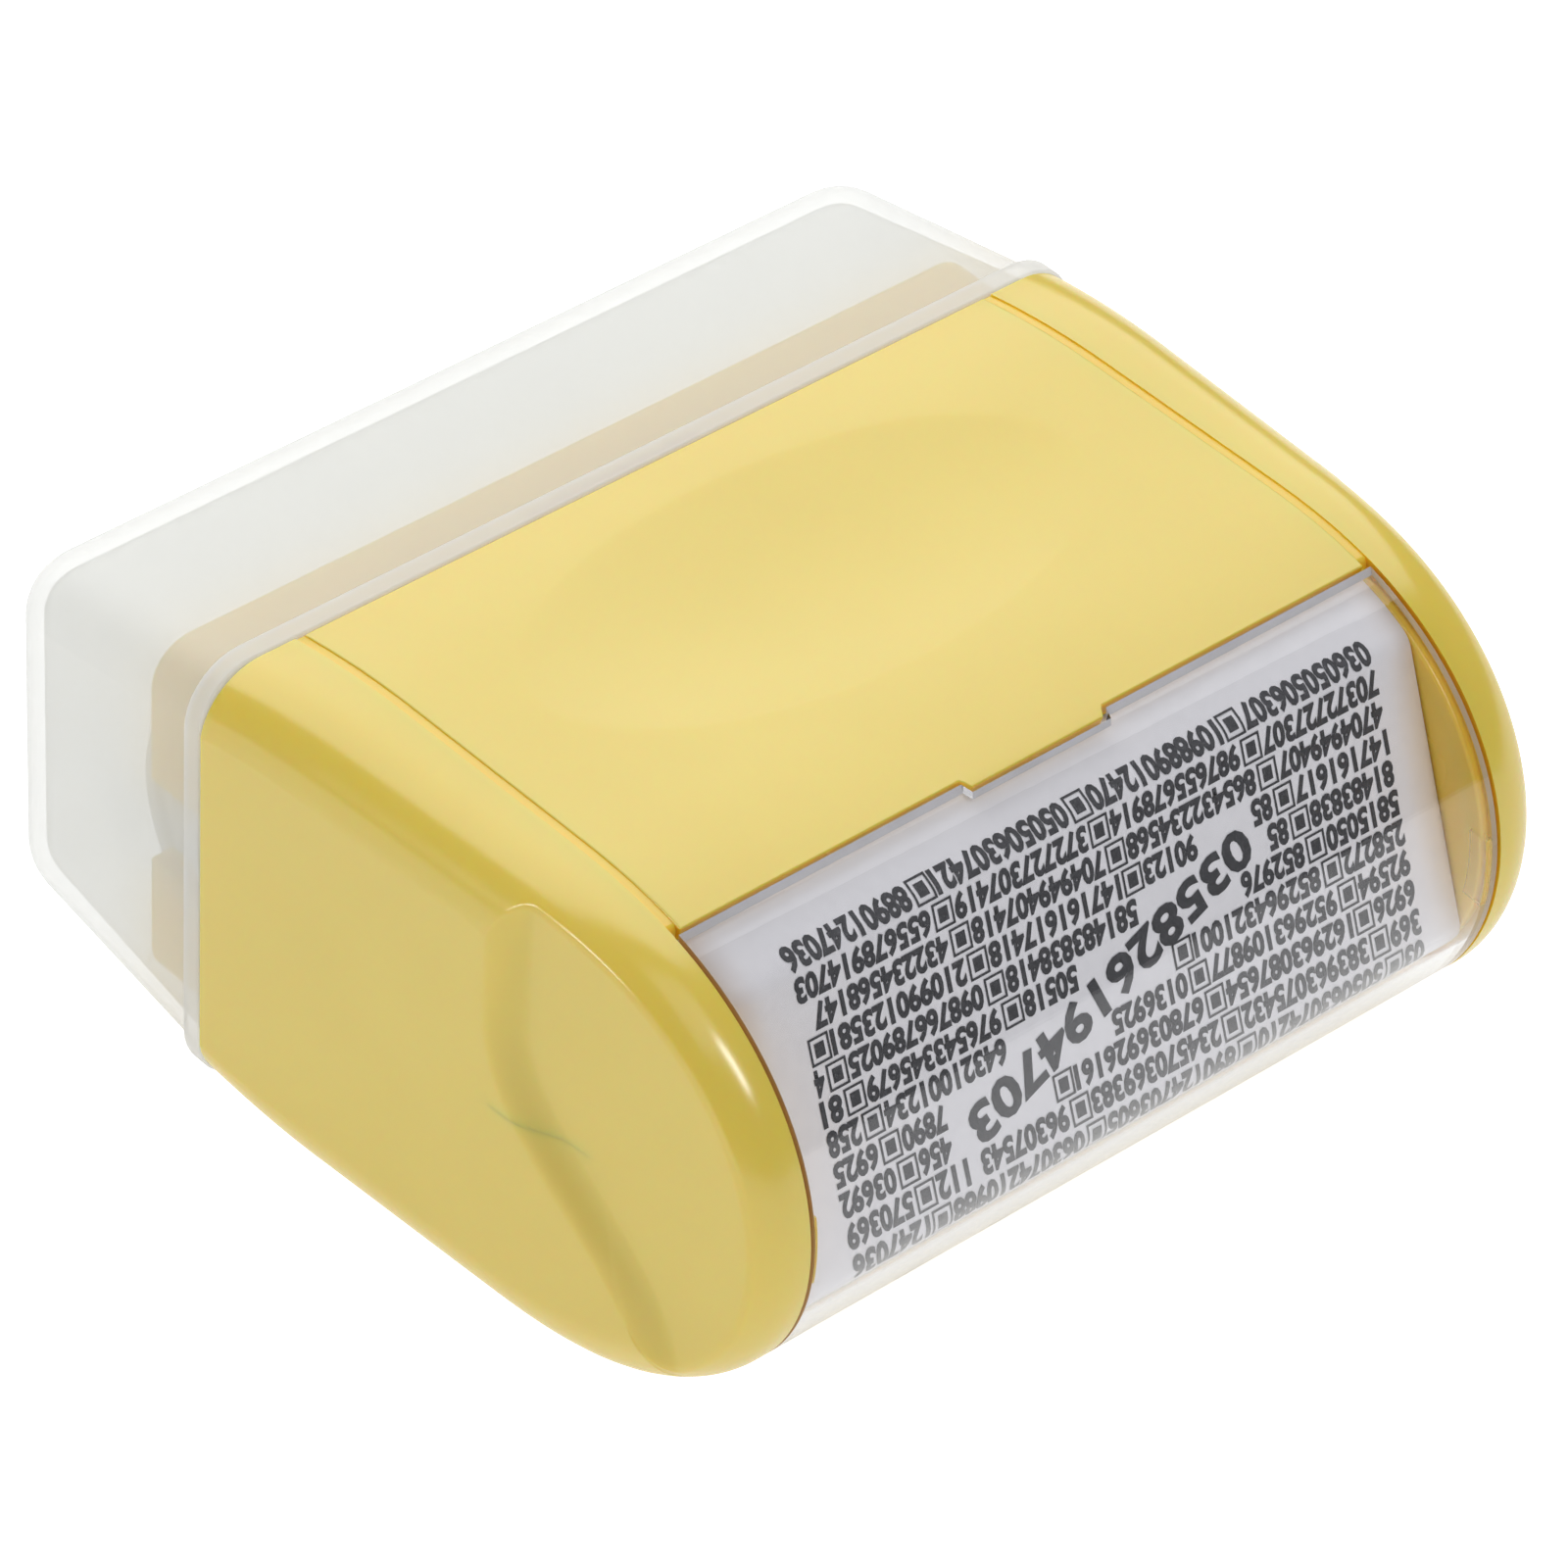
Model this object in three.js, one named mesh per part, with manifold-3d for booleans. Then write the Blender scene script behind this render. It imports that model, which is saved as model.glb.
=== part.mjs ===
// Privacy roller stamp: a wide inked roller in a hand-held body, with a push-on cap and a clear label window.
// Millimetres, +Z up. The stamp lies on its wide face, the cap points to +Y and the label window to -Y.
import * as THREE from 'three';
import { mergeVertices } from 'three/addons/utils/BufferGeometryUtils.js';
import Module from 'manifold-3d';

const wasm = await Module();
wasm.setup();

// Driving dimensions of the body
const bodyWidth = 62;
const bodyLength = 41.9;
const seamThickness = 28.4;
const belly = 0.8;
const crestStart = 9;
const noseLength = 19.9;
const noseRoundness = 2.5;
const edgeRadius = 4;
const flankTaper = 2.1;
const shellWall = 1.6;
const clearance = 0.3;

// Driving dimensions of the side covers and the two grips
const sideCoverWidth = 6.7;
const groove = 0.4;
const recessDepth = 1.1;
const recessSlope = 3;
const recessReach = 18.5;
const recessRun = 11.6;
const recessHip = 6.5;
const recessWaist = 5;
const recessFoot = 11;
const dishLength = 37.2;
const dishWidth = 18.4;
const dishDepth = 0.8;
const dishCentre = 12.7;
const dishCurve = 6;

// Driving dimensions of the cap
const capLength = 18.2;
const capWall = 1;
const capStep = 0.4;
const capDraft = 2.7;
const capSideDraft = 0.4;
const capEndRadius = 3.3;
const capCornerRadius = 3.6;
const beadWidth = 1.25;
const beadProud = 0.05;

// Driving dimensions of the label window
const windowReach = 11.6;
const undersideReach = 5.9;
const windowWall = 0.8;
const notchWidth = 10;
const notchDepth = 0.65;
const lugThickness = 0.6;
const lugHeight = 4.4;
const lugLength = 1.2;
const labelThickness = 0.25;
const labelFlatTop = 12.2;
const labelFlatFoot = 4.8;
const labelFoot = 8.4;
const carrierWall = 1.4;

// Driving dimensions of the inner frame
const frameWall = 1.5;
const neckLength = 6.5;
const neckWall = 1.2;
const snapRibLength = 12;
const snapRibWidth = 0.8;
const snapRibSetback = 3.5;
const armHeight = 16;

// Driving dimensions of the print drum and its axle
const drumForward = 1;
const drumRunningGap = 0.7;
const drumEndPlay = 0.5;
const reliefHeight = 0.6;
const reliefRows = 14;
const reliefRowShare = 0.62;
const sleeveWall = 1.8;
const drumCoreWall = 1.4;
const drumEndWall = 1.3;
const drumSpigot = 3;
const axleRadius = 1.2;
const bushRadius = 3;
const snapLip = 0.25;

// Driving dimensions of the ink roller, the wick pad and the filler
const inkRollerRadius = 5.4;
const feltThickness = 2.6;
const inkBushWall = 0.8;
const padThickness = 4;
const padHeight = 8;
const padEndMargin = 4;
const spoutRadius = 3;
const spoutBore = 1.8;
const plugHeadRadius = 2.6;
const plugHeadThickness = 1.2;
const plugStemLength = 3.5;

// One overrun serves every cut
const overrun = 4;

// Facets
const roundFacets = 32;
const smallFacets = 20;
const noseFacets = 14;
const crestFacets = 4;
const bevelFacets = 5;
const recessFacets = 3;
const cornerFacets = 5;
const dishFacets = 40;
const weldTolerance = 0.0001;

// Colours and finishes
const yellowPlastic = { color: 0xe8d07a, roughness: 0.35, metalness: 0 };
const framePlastic = { color: 0xdcb44c, roughness: 0.45, metalness: 0 };
const milkyPlastic = { color: 0xe8e9e6, roughness: 0.5, metalness: 0 };
const clearPlastic = { color: 0xd9dce0, roughness: 0.05, metalness: 0 };
const whitePaper = { color: 0xe6e4e8, roughness: 0.8, metalness: 0 };
const whitePlastic = { color: 0xf0efe8, roughness: 0.4, metalness: 0 };
const greyPlastic = { color: 0xc9ccd0, roughness: 0.45, metalness: 0 };
const printRubber = { color: 0xd2d6dc, roughness: 0.7, metalness: 0 };
const inkedFelt = { color: 0x2a3350, roughness: 0.95, metalness: 0 };
const plugRubber = { color: 0x4b4f58, roughness: 0.7, metalness: 0 };
const steel = { color: 0xb9bcc0, roughness: 0.25, metalness: 1 };

// Sizes that follow from the driving dimensions
const halfWidth = bodyWidth / 2;
const seamHalf = seamThickness / 2;
const bodyHalf = seamHalf + belly;
const crestEnd = bodyLength - noseLength;
const windowSetback = bodyLength - windowReach;
const windowUnderside = bodyLength - undersideReach;
const panelHalf = halfWidth - sideCoverWidth;
const panelEdge = panelHalf - groove / 2;
const sideCoverEdge = panelHalf + groove / 2;
const windowHalf = sideCoverEdge - clearance;

// Half the thickness of the body at a distance back from the cap seam, towards the nose
function halfThicknessAt(distance) {
  if (distance < crestStart) {
    return bodyHalf - belly * (1 - distance / crestStart) ** 2;
  }
  const reach = Math.min(Math.max((distance - crestEnd) / (bodyLength - crestEnd), 0), 1);
  return bodyHalf * Math.sqrt(1 - reach ** noseRoundness);
}

// Distance of the nose surface from the cap seam at a height from the middle plane
function noseDistanceAt(height) {
  const reach = (1 - (height / bodyHalf) ** 2) ** (1 / noseRoundness);
  return crestEnd + (bodyLength - crestEnd) * reach;
}

// Half the width of the body at a distance from the cap seam
function flankAt(distance) {
  return halfWidth - flankTaper * distance / bodyLength;
}

// Solids from three.js geometries, and back
function toSolid(geometry) {
  const bare = geometry.clone();
  bare.deleteAttribute('normal');
  bare.deleteAttribute('uv');
  const welded = mergeVertices(bare, weldTolerance);
  const vertProperties = new Float32Array(welded.attributes.position.array);
  const triVerts = new Uint32Array(welded.index.array);
  return new wasm.Manifold(new wasm.Mesh({ numProp: 3, vertProperties, triVerts }));
}

function toGeometry(solid) {
  const mesh = solid.getMesh();
  const geometry = new THREE.BufferGeometry();
  geometry.setAttribute('position', new THREE.BufferAttribute(new Float32Array(mesh.vertProperties), 3));
  geometry.setIndex(new THREE.BufferAttribute(new Uint32Array(mesh.triVerts), 1));
  const flat = geometry.toNonIndexed();
  flat.computeVertexNormals();
  return flat;
}

// A block between two corners
function block(x0, x1, y0, y1, z0, z1) {
  const box = new THREE.BoxGeometry(x1 - x0, y1 - y0, z1 - z0);
  box.translate((x0 + x1) / 2, (y0 + y1) / 2, (z0 + z1) / 2);
  return toSolid(box);
}

// Extrusion axes: a side outline is drawn in Y and Z and runs along X, an end outline is drawn in Z and X and runs along Y
const alongX = new THREE.Matrix4().makeBasis(
  new THREE.Vector3(0, 1, 0),
  new THREE.Vector3(0, 0, 1),
  new THREE.Vector3(1, 0, 0),
);
const alongY = new THREE.Matrix4().makeBasis(
  new THREE.Vector3(0, 0, 1),
  new THREE.Vector3(1, 0, 0),
  new THREE.Vector3(0, 1, 0),
);

function extrudeAlongX(shape, x0, x1) {
  const geometry = new THREE.ExtrudeGeometry(shape, { depth: x1 - x0, bevelEnabled: false, curveSegments: cornerFacets });
  geometry.translate(0, 0, x0);
  geometry.applyMatrix4(alongX);
  return toSolid(geometry);
}

function extrudeAlongY(shape, y0, y1) {
  const geometry = new THREE.ExtrudeGeometry(shape, { depth: y1 - y0, bevelEnabled: false, curveSegments: cornerFacets });
  geometry.translate(0, 0, y0);
  geometry.applyMatrix4(alongY);
  return toSolid(geometry);
}

// A rod or a bore along X
function rodAlongX(radius, x0, x1, y, z, facets) {
  const rod = new THREE.CylinderGeometry(radius, radius, x1 - x0, facets);
  rod.rotateZ(Math.PI / 2);
  rod.translate((x0 + x1) / 2, y, z);
  return toSolid(rod);
}

// A rod or a bore along Y
function rodAlongY(radius, x, y0, y1, z, facets) {
  const rod = new THREE.CylinderGeometry(radius, radius, y1 - y0, facets);
  rod.translate(x, (y0 + y1) / 2, z);
  return toSolid(rod);
}

// A rectangle with round corners, drawn for an extrusion along Y
function roundedRectangle(halfX, halfZ, radius) {
  const shape = new THREE.Shape();
  shape.moveTo(halfZ, radius - halfX);
  shape.lineTo(halfZ, halfX - radius);
  shape.absarc(halfZ - radius, halfX - radius, radius, 0, Math.PI / 2, false);
  shape.lineTo(radius - halfZ, halfX);
  shape.absarc(radius - halfZ, halfX - radius, radius, Math.PI / 2, Math.PI, false);
  shape.lineTo(-halfZ, radius - halfX);
  shape.absarc(radius - halfZ, radius - halfX, radius, Math.PI, 1.5 * Math.PI, false);
  shape.lineTo(halfZ - radius, -halfX);
  shape.absarc(halfZ - radius, radius - halfX, radius, 1.5 * Math.PI, 2 * Math.PI, false);
  return shape;
}

function polygon(points) {
  return new THREE.Shape(points.map(([y, z]) => new THREE.Vector2(y, z)));
}

// The scene graph
const stamp = new THREE.Group();

function addPart(name, solid, finish) {
  const mesh = new THREE.Mesh(toGeometry(solid), new THREE.MeshStandardMaterial(finish));
  mesh.name = name;
  stamp.add(mesh);
}

// Body form: the side profile run along X with rounded edges, its flanks drawn in towards the nose
function bodyProfile() {
  const tail = edgeRadius + overrun;
  const upper = [[tail, halfThicknessAt(-tail)]];
  for (let i = 0; i <= crestFacets; i += 1) {
    const distance = crestStart * i / crestFacets;
    upper.push([-distance, halfThicknessAt(distance)]);
  }
  for (let i = 0; i <= noseFacets; i += 1) {
    const angle = Math.PI / 2 * i / noseFacets;
    const distance = crestEnd + (bodyLength - crestEnd) * Math.sin(angle) ** (2 / noseRoundness);
    upper.push([-distance, bodyHalf * Math.cos(angle)]);
  }
  const lower = upper.slice(0, -1).reverse().map(([y, z]) => [y, -z]);
  return polygon([...upper, ...lower].reverse());
}

function drawInFlanks(geometry) {
  const position = geometry.attributes.position;
  for (let i = 0; i < position.count; i += 1) {
    position.setX(i, position.getX(i) * flankAt(-position.getY(i)) / halfWidth);
  }
}

function bodyForm(inset) {
  const radius = edgeRadius - inset / 2;
  const flatWidth = 2 * (halfWidth - inset - radius);
  const geometry = new THREE.ExtrudeGeometry(bodyProfile(), {
    depth: flatWidth,
    bevelEnabled: true,
    bevelSize: radius,
    bevelThickness: radius,
    bevelOffset: -radius - inset,
    bevelSegments: bevelFacets,
  });
  geometry.translate(0, 0, -flatWidth / 2);
  geometry.applyMatrix4(alongX);
  drawInFlanks(geometry);
  return toSolid(geometry);
}

const bodyOuter = bodyForm(0);
const bodyInner = bodyForm(shellWall);
const bodyShell = bodyOuter.subtract(bodyInner);

// Thumb dishes: a shallow oval pressed into each wide face
function dishCutter(side) {
  const spread = Math.sqrt(1 - (1 - dishDepth / dishCurve) ** 2);
  const sphere = new THREE.SphereGeometry(1, dishFacets, dishFacets / 2);
  sphere.scale(dishLength / 2 / spread, dishWidth / 2 / spread, dishCurve);
  sphere.translate(0, -dishCentre, side * (bodyHalf - dishDepth + dishCurve));
  return toSolid(sphere);
}

// Upper and lower covers, between the two grooves
const upperCover = bodyShell
  .intersect(block(-panelEdge, panelEdge, -windowSetback, 0, 0, bodyHalf + overrun))
  .subtract(dishCutter(1));
addPart('upper_cover', upperCover, yellowPlastic);

const lowerCover = bodyShell
  .intersect(block(-panelEdge, panelEdge, -windowUnderside, 0, -bodyHalf - overrun, 0))
  .subtract(dishCutter(-1));
addPart('lower_cover', lowerCover, yellowPlastic);

// Inner frame sizes: the collar round the drum, the neck that carries the cap, and the arms round the ink roller
const collarHalfWidth = halfWidth - shellWall - clearance;
const collarHalfHeight = seamHalf - shellWall - clearance;

function capHalfHeightAt(y) {
  return seamHalf - capStep - capDraft * y / capLength;
}

function capHalfWidthAt(y) {
  return halfWidth - capStep - capSideDraft * y / capLength;
}

const neckHalfHeight = capHalfHeightAt(neckLength) - capWall - clearance;
const neckHalfWidth = capHalfWidthAt(neckLength) - capWall - clearance;
const neckBoreHalfHeight = neckHalfHeight - neckWall;
const neckBoreHalfWidth = neckHalfWidth - frameWall;
const neckCornerRadius = capCornerRadius - capWall;
const neckBoreRadius = neckCornerRadius / 2;

// Drum, ink roller and pad in line behind each other
const drumRadius = neckBoreHalfHeight - drumRunningGap;
const collarRear = drumForward - drumRadius - drumRunningGap;
const inkRollerY = drumForward - drumRadius - clearance - inkRollerRadius;
const padFront = inkRollerY - inkRollerRadius - clearance;
const padRear = padFront - padThickness;
const rearWallFront = padRear - clearance;
const rearWallBack = rearWallFront - frameWall;
const armOuter = flankAt(windowSetback) - recessDepth - shellWall - clearance;
const armInner = armOuter - frameWall;
const inkRollerHalfLength = armInner - drumEndPlay;
const slotRadius = bushRadius + clearance;
const slotHalfHeight = bushRadius - snapLip;

// What lies at a depth under the body's surface and behind the flat of the label, which is a chord of the nose
function behindLabel(depth, half) {
  const top = new THREE.Vector2(-noseDistanceAt(labelFlatTop), labelFlatTop);
  const foot = new THREE.Vector2(-noseDistanceAt(labelFlatFoot), -labelFlatFoot);
  const along = foot.clone().sub(top).normalize();
  const inward = new THREE.Vector2(-along.y, along.x);
  const frontTop = top.clone().addScaledVector(along, -bodyLength).addScaledVector(inward, depth);
  const frontFoot = foot.clone().addScaledVector(along, bodyLength).addScaledVector(inward, depth);
  const backTop = frontTop.clone().addScaledVector(inward, bodyLength);
  const backFoot = frontFoot.clone().addScaledVector(inward, bodyLength);
  const outline = [frontTop, frontFoot, backFoot, backTop].map((point) => point.toArray());
  return extrudeAlongX(polygon(outline), -half, half).intersect(bodyForm(depth));
}

// A band of even thickness behind the window, from the upper cover's edge down to the label's foot
function labelBand(outerDepth, innerDepth, half) {
  const reach = block(-half, half, -bodyLength, -windowSetback - clearance, -labelFoot, bodyHalf);
  return behindLabel(outerDepth, half).subtract(behindLabel(innerDepth, half + overrun)).intersect(reach);
}

const labelDepth = windowWall + clearance;
const carrierDepth = labelDepth + labelThickness + clearance;

// Distance of the flat part of the label from the cap seam, at a height
function labelFlatDistanceAt(height) {
  const top = noseDistanceAt(labelFlatTop);
  const foot = noseDistanceAt(labelFlatFoot);
  return top + (foot - top) * (labelFlatTop - height) / (labelFlatTop + labelFlatFoot);
}

const flatRun = noseDistanceAt(labelFlatFoot) - noseDistanceAt(labelFlatTop);
const flatRise = labelFlatTop + labelFlatFoot;
const flatLean = Math.hypot(flatRun, flatRise) / flatRise;

// The plug's head lies just behind the label, in a hole of the label carrier
const plugFront = -labelFlatDistanceAt(plugHeadRadius) + (labelDepth + labelThickness) * flatLean + clearance;
const spoutMouth = plugFront + plugHeadThickness + clearance;
const carrierHoleRadius = spoutRadius + 2 * clearance;

// Inner frame
const collarBack = collarRear - frameWall;
const collar = extrudeAlongY(roundedRectangle(collarHalfWidth, collarHalfHeight, neckCornerRadius), collarBack, 0);
const neck = extrudeAlongY(
  roundedRectangle(neckHalfWidth, neckHalfHeight, neckCornerRadius),
  -frameWall,
  neckLength,
);
const drumWell = extrudeAlongY(
  roundedRectangle(neckBoreHalfWidth, neckBoreHalfHeight, neckBoreRadius),
  collarRear,
  neckLength + overrun,
);
const rollerGate = block(
  -armInner,
  armInner,
  collarBack - overrun,
  collarRear + overrun,
  -inkRollerRadius - drumRunningGap,
  inkRollerRadius + drumRunningGap,
);
const snapRibHeight = capHalfHeightAt(neckLength - snapRibSetback + snapRibWidth) - capWall - clearance;
const snapRibs = block(
  -snapRibLength / 2,
  snapRibLength / 2,
  neckLength - snapRibSetback,
  neckLength - snapRibSetback + snapRibWidth,
  -snapRibHeight,
  snapRibHeight,
);
const armHalf = armHeight / 2;
const leftArm = block(-armOuter, -armInner, rearWallBack, collarRear - clearance, -armHalf, armHalf);
const rightArm = block(armInner, armOuter, rearWallBack, collarRear - clearance, -armHalf, armHalf);
const rearWall = block(-armOuter, armOuter, rearWallBack, rearWallFront, -armHalf, armHalf);
const padPocketHalf = padHeight / 2 + clearance;
const upperPadShelf = block(-armOuter, armOuter, rearWallBack, padFront, padPocketHalf, padPocketHalf + frameWall);
const lowerPadShelf = block(-armOuter, armOuter, rearWallBack, padFront, -padPocketHalf - frameWall, -padPocketHalf);
const spout = rodAlongY(spoutRadius, 0, spoutMouth, rearWallBack + frameWall / 2, 0, smallFacets);
const spoutHole = rodAlongY(spoutBore, 0, spoutMouth - overrun, rearWallFront + overrun, 0, smallFacets);
const bushSlot = block(-halfWidth, halfWidth, drumForward, neckLength + overrun, -slotHalfHeight, slotHalfHeight);
const bushPocket = rodAlongX(slotRadius, -halfWidth, halfWidth, drumForward, 0, smallFacets);
const inkBushRadius = axleRadius + clearance + inkBushWall;
const inkBushBore = rodAlongX(inkBushRadius + clearance, -halfWidth, halfWidth, inkRollerY, 0, smallFacets);
const innerFrame = collar
  .add(neck)
  .add(snapRibs)
  .subtract(drumWell)
  .subtract(rollerGate)
  .add(leftArm)
  .add(rightArm)
  .add(rearWall)
  .add(upperPadShelf)
  .add(lowerPadShelf)
  .add(spout)
  .subtract(spoutHole)
  .subtract(bushSlot)
  .subtract(bushPocket)
  .subtract(inkBushBore);
addPart('inner_frame', innerFrame, framePlastic);

// Side covers: the ends of the body, hollow over the frame, each with a finger recess at the nose end
function recessOutline() {
  const shape = new THREE.Shape();
  const start = recessReach - bodyLength;
  const end = start - recessRun;
  shape.moveTo(start, bodyHalf + overrun);
  shape.lineTo(start, recessHip);
  shape.bezierCurveTo(start, 0, end, -recessWaist, end, -recessFoot);
  shape.lineTo(end, -bodyHalf - overrun);
  shape.lineTo(-bodyLength - overrun, -bodyHalf - overrun);
  shape.lineTo(-bodyLength - overrun, bodyHalf + overrun);
  return shape;
}

function recessCutter(side) {
  const depth = overrun;
  const geometry = new THREE.ExtrudeGeometry(recessOutline(), {
    depth,
    bevelEnabled: true,
    bevelSize: recessSlope,
    bevelThickness: recessDepth,
    bevelOffset: -recessSlope / 2,
    bevelSegments: recessFacets,
    curveSegments: noseFacets,
  });
  geometry.applyMatrix4(alongX);
  geometry.translate(side > 0 ? halfWidth : -halfWidth - depth, 0, 0);
  drawInFlanks(geometry);
  return toSolid(geometry);
}

function sideCover(side) {
  const near = side * sideCoverEdge;
  const far = side * (halfWidth + overrun);
  const slice = block(
    Math.min(near, far),
    Math.max(near, far),
    -bodyLength - overrun,
    0,
    -bodyHalf - overrun,
    bodyHalf + overrun,
  );
  const frontHollow = block(
    -collarHalfWidth - clearance,
    collarHalfWidth + clearance,
    collarBack - clearance,
    overrun,
    -collarHalfHeight - clearance,
    collarHalfHeight + clearance,
  );
  const rearHollow = block(
    -armOuter - clearance,
    armOuter + clearance,
    rearWallBack - clearance,
    overrun,
    -collarHalfHeight - clearance,
    collarHalfHeight + clearance,
  );
  return bodyOuter
    .intersect(slice)
    .subtract(frontHollow)
    .subtract(rearHollow)
    .subtract(recessCutter(side));
}

addPart('left_side_cover', sideCover(-1), yellowPlastic);
addPart('right_side_cover', sideCover(1), yellowPlastic);

// Clear label window: a U-shaped cover round the nose, with a nail notch and a snap pad inside each end
const windowShell = bodyOuter.subtract(bodyForm(windowWall));
const windowBand = block(-windowHalf, windowHalf, -bodyLength - overrun, -windowSetback - clearance, 0, bodyHalf + overrun)
  .add(block(-windowHalf, windowHalf, -bodyLength - overrun, -windowUnderside - clearance, -bodyHalf - overrun, 0));
const nailNotch = block(
  -notchWidth / 2,
  notchWidth / 2,
  -windowSetback - clearance - notchDepth,
  0,
  0,
  bodyHalf + overrun,
);
const windowLugs = block(
  -windowHalf,
  windowHalf,
  -bodyLength + windowWall / 2,
  -bodyLength + windowWall + lugLength,
  -lugHeight / 2,
  lugHeight / 2,
).subtract(block(
  -windowHalf + lugThickness,
  windowHalf - lugThickness,
  -bodyLength - overrun,
  0,
  -lugHeight,
  lugHeight,
));
const windowCover = windowShell
  .intersect(windowBand)
  .subtract(nailNotch)
  .add(windowLugs);
addPart('window_cover', windowCover, clearPlastic);

// Label card and the carrier behind it
addPart('label_card', labelBand(labelDepth, labelDepth + labelThickness, windowHalf), whitePaper);

const carrier = labelBand(carrierDepth, carrierDepth + carrierWall, windowHalf)
  .subtract(rodAlongY(carrierHoleRadius, 0, -bodyLength, -crestEnd, 0, smallFacets));
addPart('label_carrier', carrier, framePlastic);

// Cap: a milky cup with a round closed end and a bead round its rim
function capForm(inset, closedEnd) {
  const radius = capEndRadius - inset;
  const flatLength = closedEnd + overrun;
  const geometry = new THREE.ExtrudeGeometry(
    roundedRectangle(capHalfWidthAt(0) - inset, capHalfHeightAt(0) - inset, capCornerRadius - inset),
    {
      depth: flatLength,
      bevelEnabled: true,
      bevelSize: radius,
      bevelThickness: radius,
      bevelOffset: -radius,
      bevelSegments: bevelFacets,
      curveSegments: cornerFacets,
    },
  );
  geometry.translate(0, 0, closedEnd - radius - flatLength);
  geometry.applyMatrix4(alongY);
  const position = geometry.attributes.position;
  for (let i = 0; i < position.count; i += 1) {
    const y = position.getY(i);
    position.setX(i, position.getX(i) * (capHalfWidthAt(y) - inset) / (capHalfWidthAt(0) - inset));
    position.setZ(i, position.getZ(i) * (capHalfHeightAt(y) - inset) / (capHalfHeightAt(0) - inset));
  }
  return toSolid(geometry);
}

const capReach = block(-bodyWidth, bodyWidth, clearance, capLength + overrun, -bodyWidth, bodyWidth);
const capBead = extrudeAlongY(
  roundedRectangle(halfWidth + beadProud, seamHalf + beadProud, capCornerRadius + capStep + beadProud),
  clearance,
  clearance + beadWidth,
);
const cap = capForm(0, capLength)
  .intersect(capReach)
  .add(capBead)
  .subtract(capForm(capWall, capLength - capWall));
addPart('cap', cap, milkyPlastic);

// Print drum: a rubber sleeve with raised rows, on a hollow core with two ends that run on the axle
const drumHalfLength = neckBoreHalfWidth - drumEndPlay;
const sleeveHalfLength = drumHalfLength - drumEndWall - clearance;
const sleeveRoot = drumRadius - reliefHeight;
const sleeveBore = sleeveRoot - sleeveWall;
const drumCoreRadius = sleeveBore - clearance;
const drumCoreBore = drumCoreRadius - drumCoreWall;
const spigotRadius = drumCoreBore - clearance;
const axleBore = axleRadius + clearance;

function sleeveOutline() {
  const points = [];
  const step = 2 * Math.PI / reliefRows;
  const raised = step * reliefRowShare;
  for (let i = 0; i < reliefRows; i += 1) {
    const start = i * step;
    for (const [radius, angle] of [
      [sleeveRoot, start],
      [drumRadius, start],
      [drumRadius, start + raised / 2],
      [drumRadius, start + raised],
      [sleeveRoot, start + raised],
    ]) {
      points.push([radius * Math.cos(angle), radius * Math.sin(angle)]);
    }
  }
  return polygon(points);
}

const sleeve = extrudeAlongX(sleeveOutline(), -sleeveHalfLength, sleeveHalfLength)
  .translate([0, drumForward, 0])
  .subtract(rodAlongX(sleeveBore, -halfWidth, halfWidth, drumForward, 0, roundFacets));
addPart('print_sleeve', sleeve, printRubber);

const drumCore = rodAlongX(drumCoreRadius, -sleeveHalfLength, sleeveHalfLength, drumForward, 0, roundFacets)
  .subtract(rodAlongX(drumCoreBore, -halfWidth, halfWidth, drumForward, 0, roundFacets));
addPart('drum_core', drumCore, greyPlastic);

function drumEnd(side) {
  const span = (radius, inner, outer, facets) => rodAlongX(
    radius,
    Math.min(side * inner, side * outer),
    Math.max(side * inner, side * outer),
    drumForward,
    0,
    facets,
  );
  return span(sleeveRoot, sleeveHalfLength + clearance, drumHalfLength, roundFacets)
    .add(span(spigotRadius, sleeveHalfLength - drumSpigot, drumHalfLength, roundFacets))
    .subtract(span(axleBore, 0, halfWidth, smallFacets));
}

addPart('left_drum_end', drumEnd(-1), greyPlastic);
addPart('right_drum_end', drumEnd(1), greyPlastic);

// Drum axle and the two bushes that snap into the slots of the neck
const bushOuter = neckHalfWidth - clearance;
const bushInner = drumHalfLength + clearance;
addPart('drum_axle', rodAlongX(axleRadius, -bushOuter, bushOuter, drumForward, 0, smallFacets), steel);

function axleBush(side) {
  const x0 = Math.min(side * bushInner, side * bushOuter);
  const x1 = Math.max(side * bushInner, side * bushOuter);
  return rodAlongX(bushRadius, x0, x1, drumForward, 0, smallFacets)
    .subtract(rodAlongX(axleBore, -halfWidth, halfWidth, drumForward, 0, smallFacets));
}

addPart('left_axle_bush', axleBush(-1), whitePlastic);
addPart('right_axle_bush', axleBush(1), whitePlastic);

// Ink roller: a felt sleeve on a core whose ends run in bushes in the frame's arms
const feltBore = inkRollerRadius - feltThickness;
const felt = rodAlongX(inkRollerRadius, -inkRollerHalfLength, inkRollerHalfLength, inkRollerY, 0, roundFacets)
  .subtract(rodAlongX(feltBore, -halfWidth, halfWidth, inkRollerY, 0, roundFacets));
addPart('ink_roller_felt', felt, inkedFelt);

const inkCore = rodAlongX(
  feltBore - clearance,
  -inkRollerHalfLength,
  inkRollerHalfLength,
  inkRollerY,
  0,
  smallFacets,
).add(rodAlongX(axleRadius, -armOuter, armOuter, inkRollerY, 0, smallFacets));
addPart('ink_roller_core', inkCore, whitePlastic);

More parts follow.
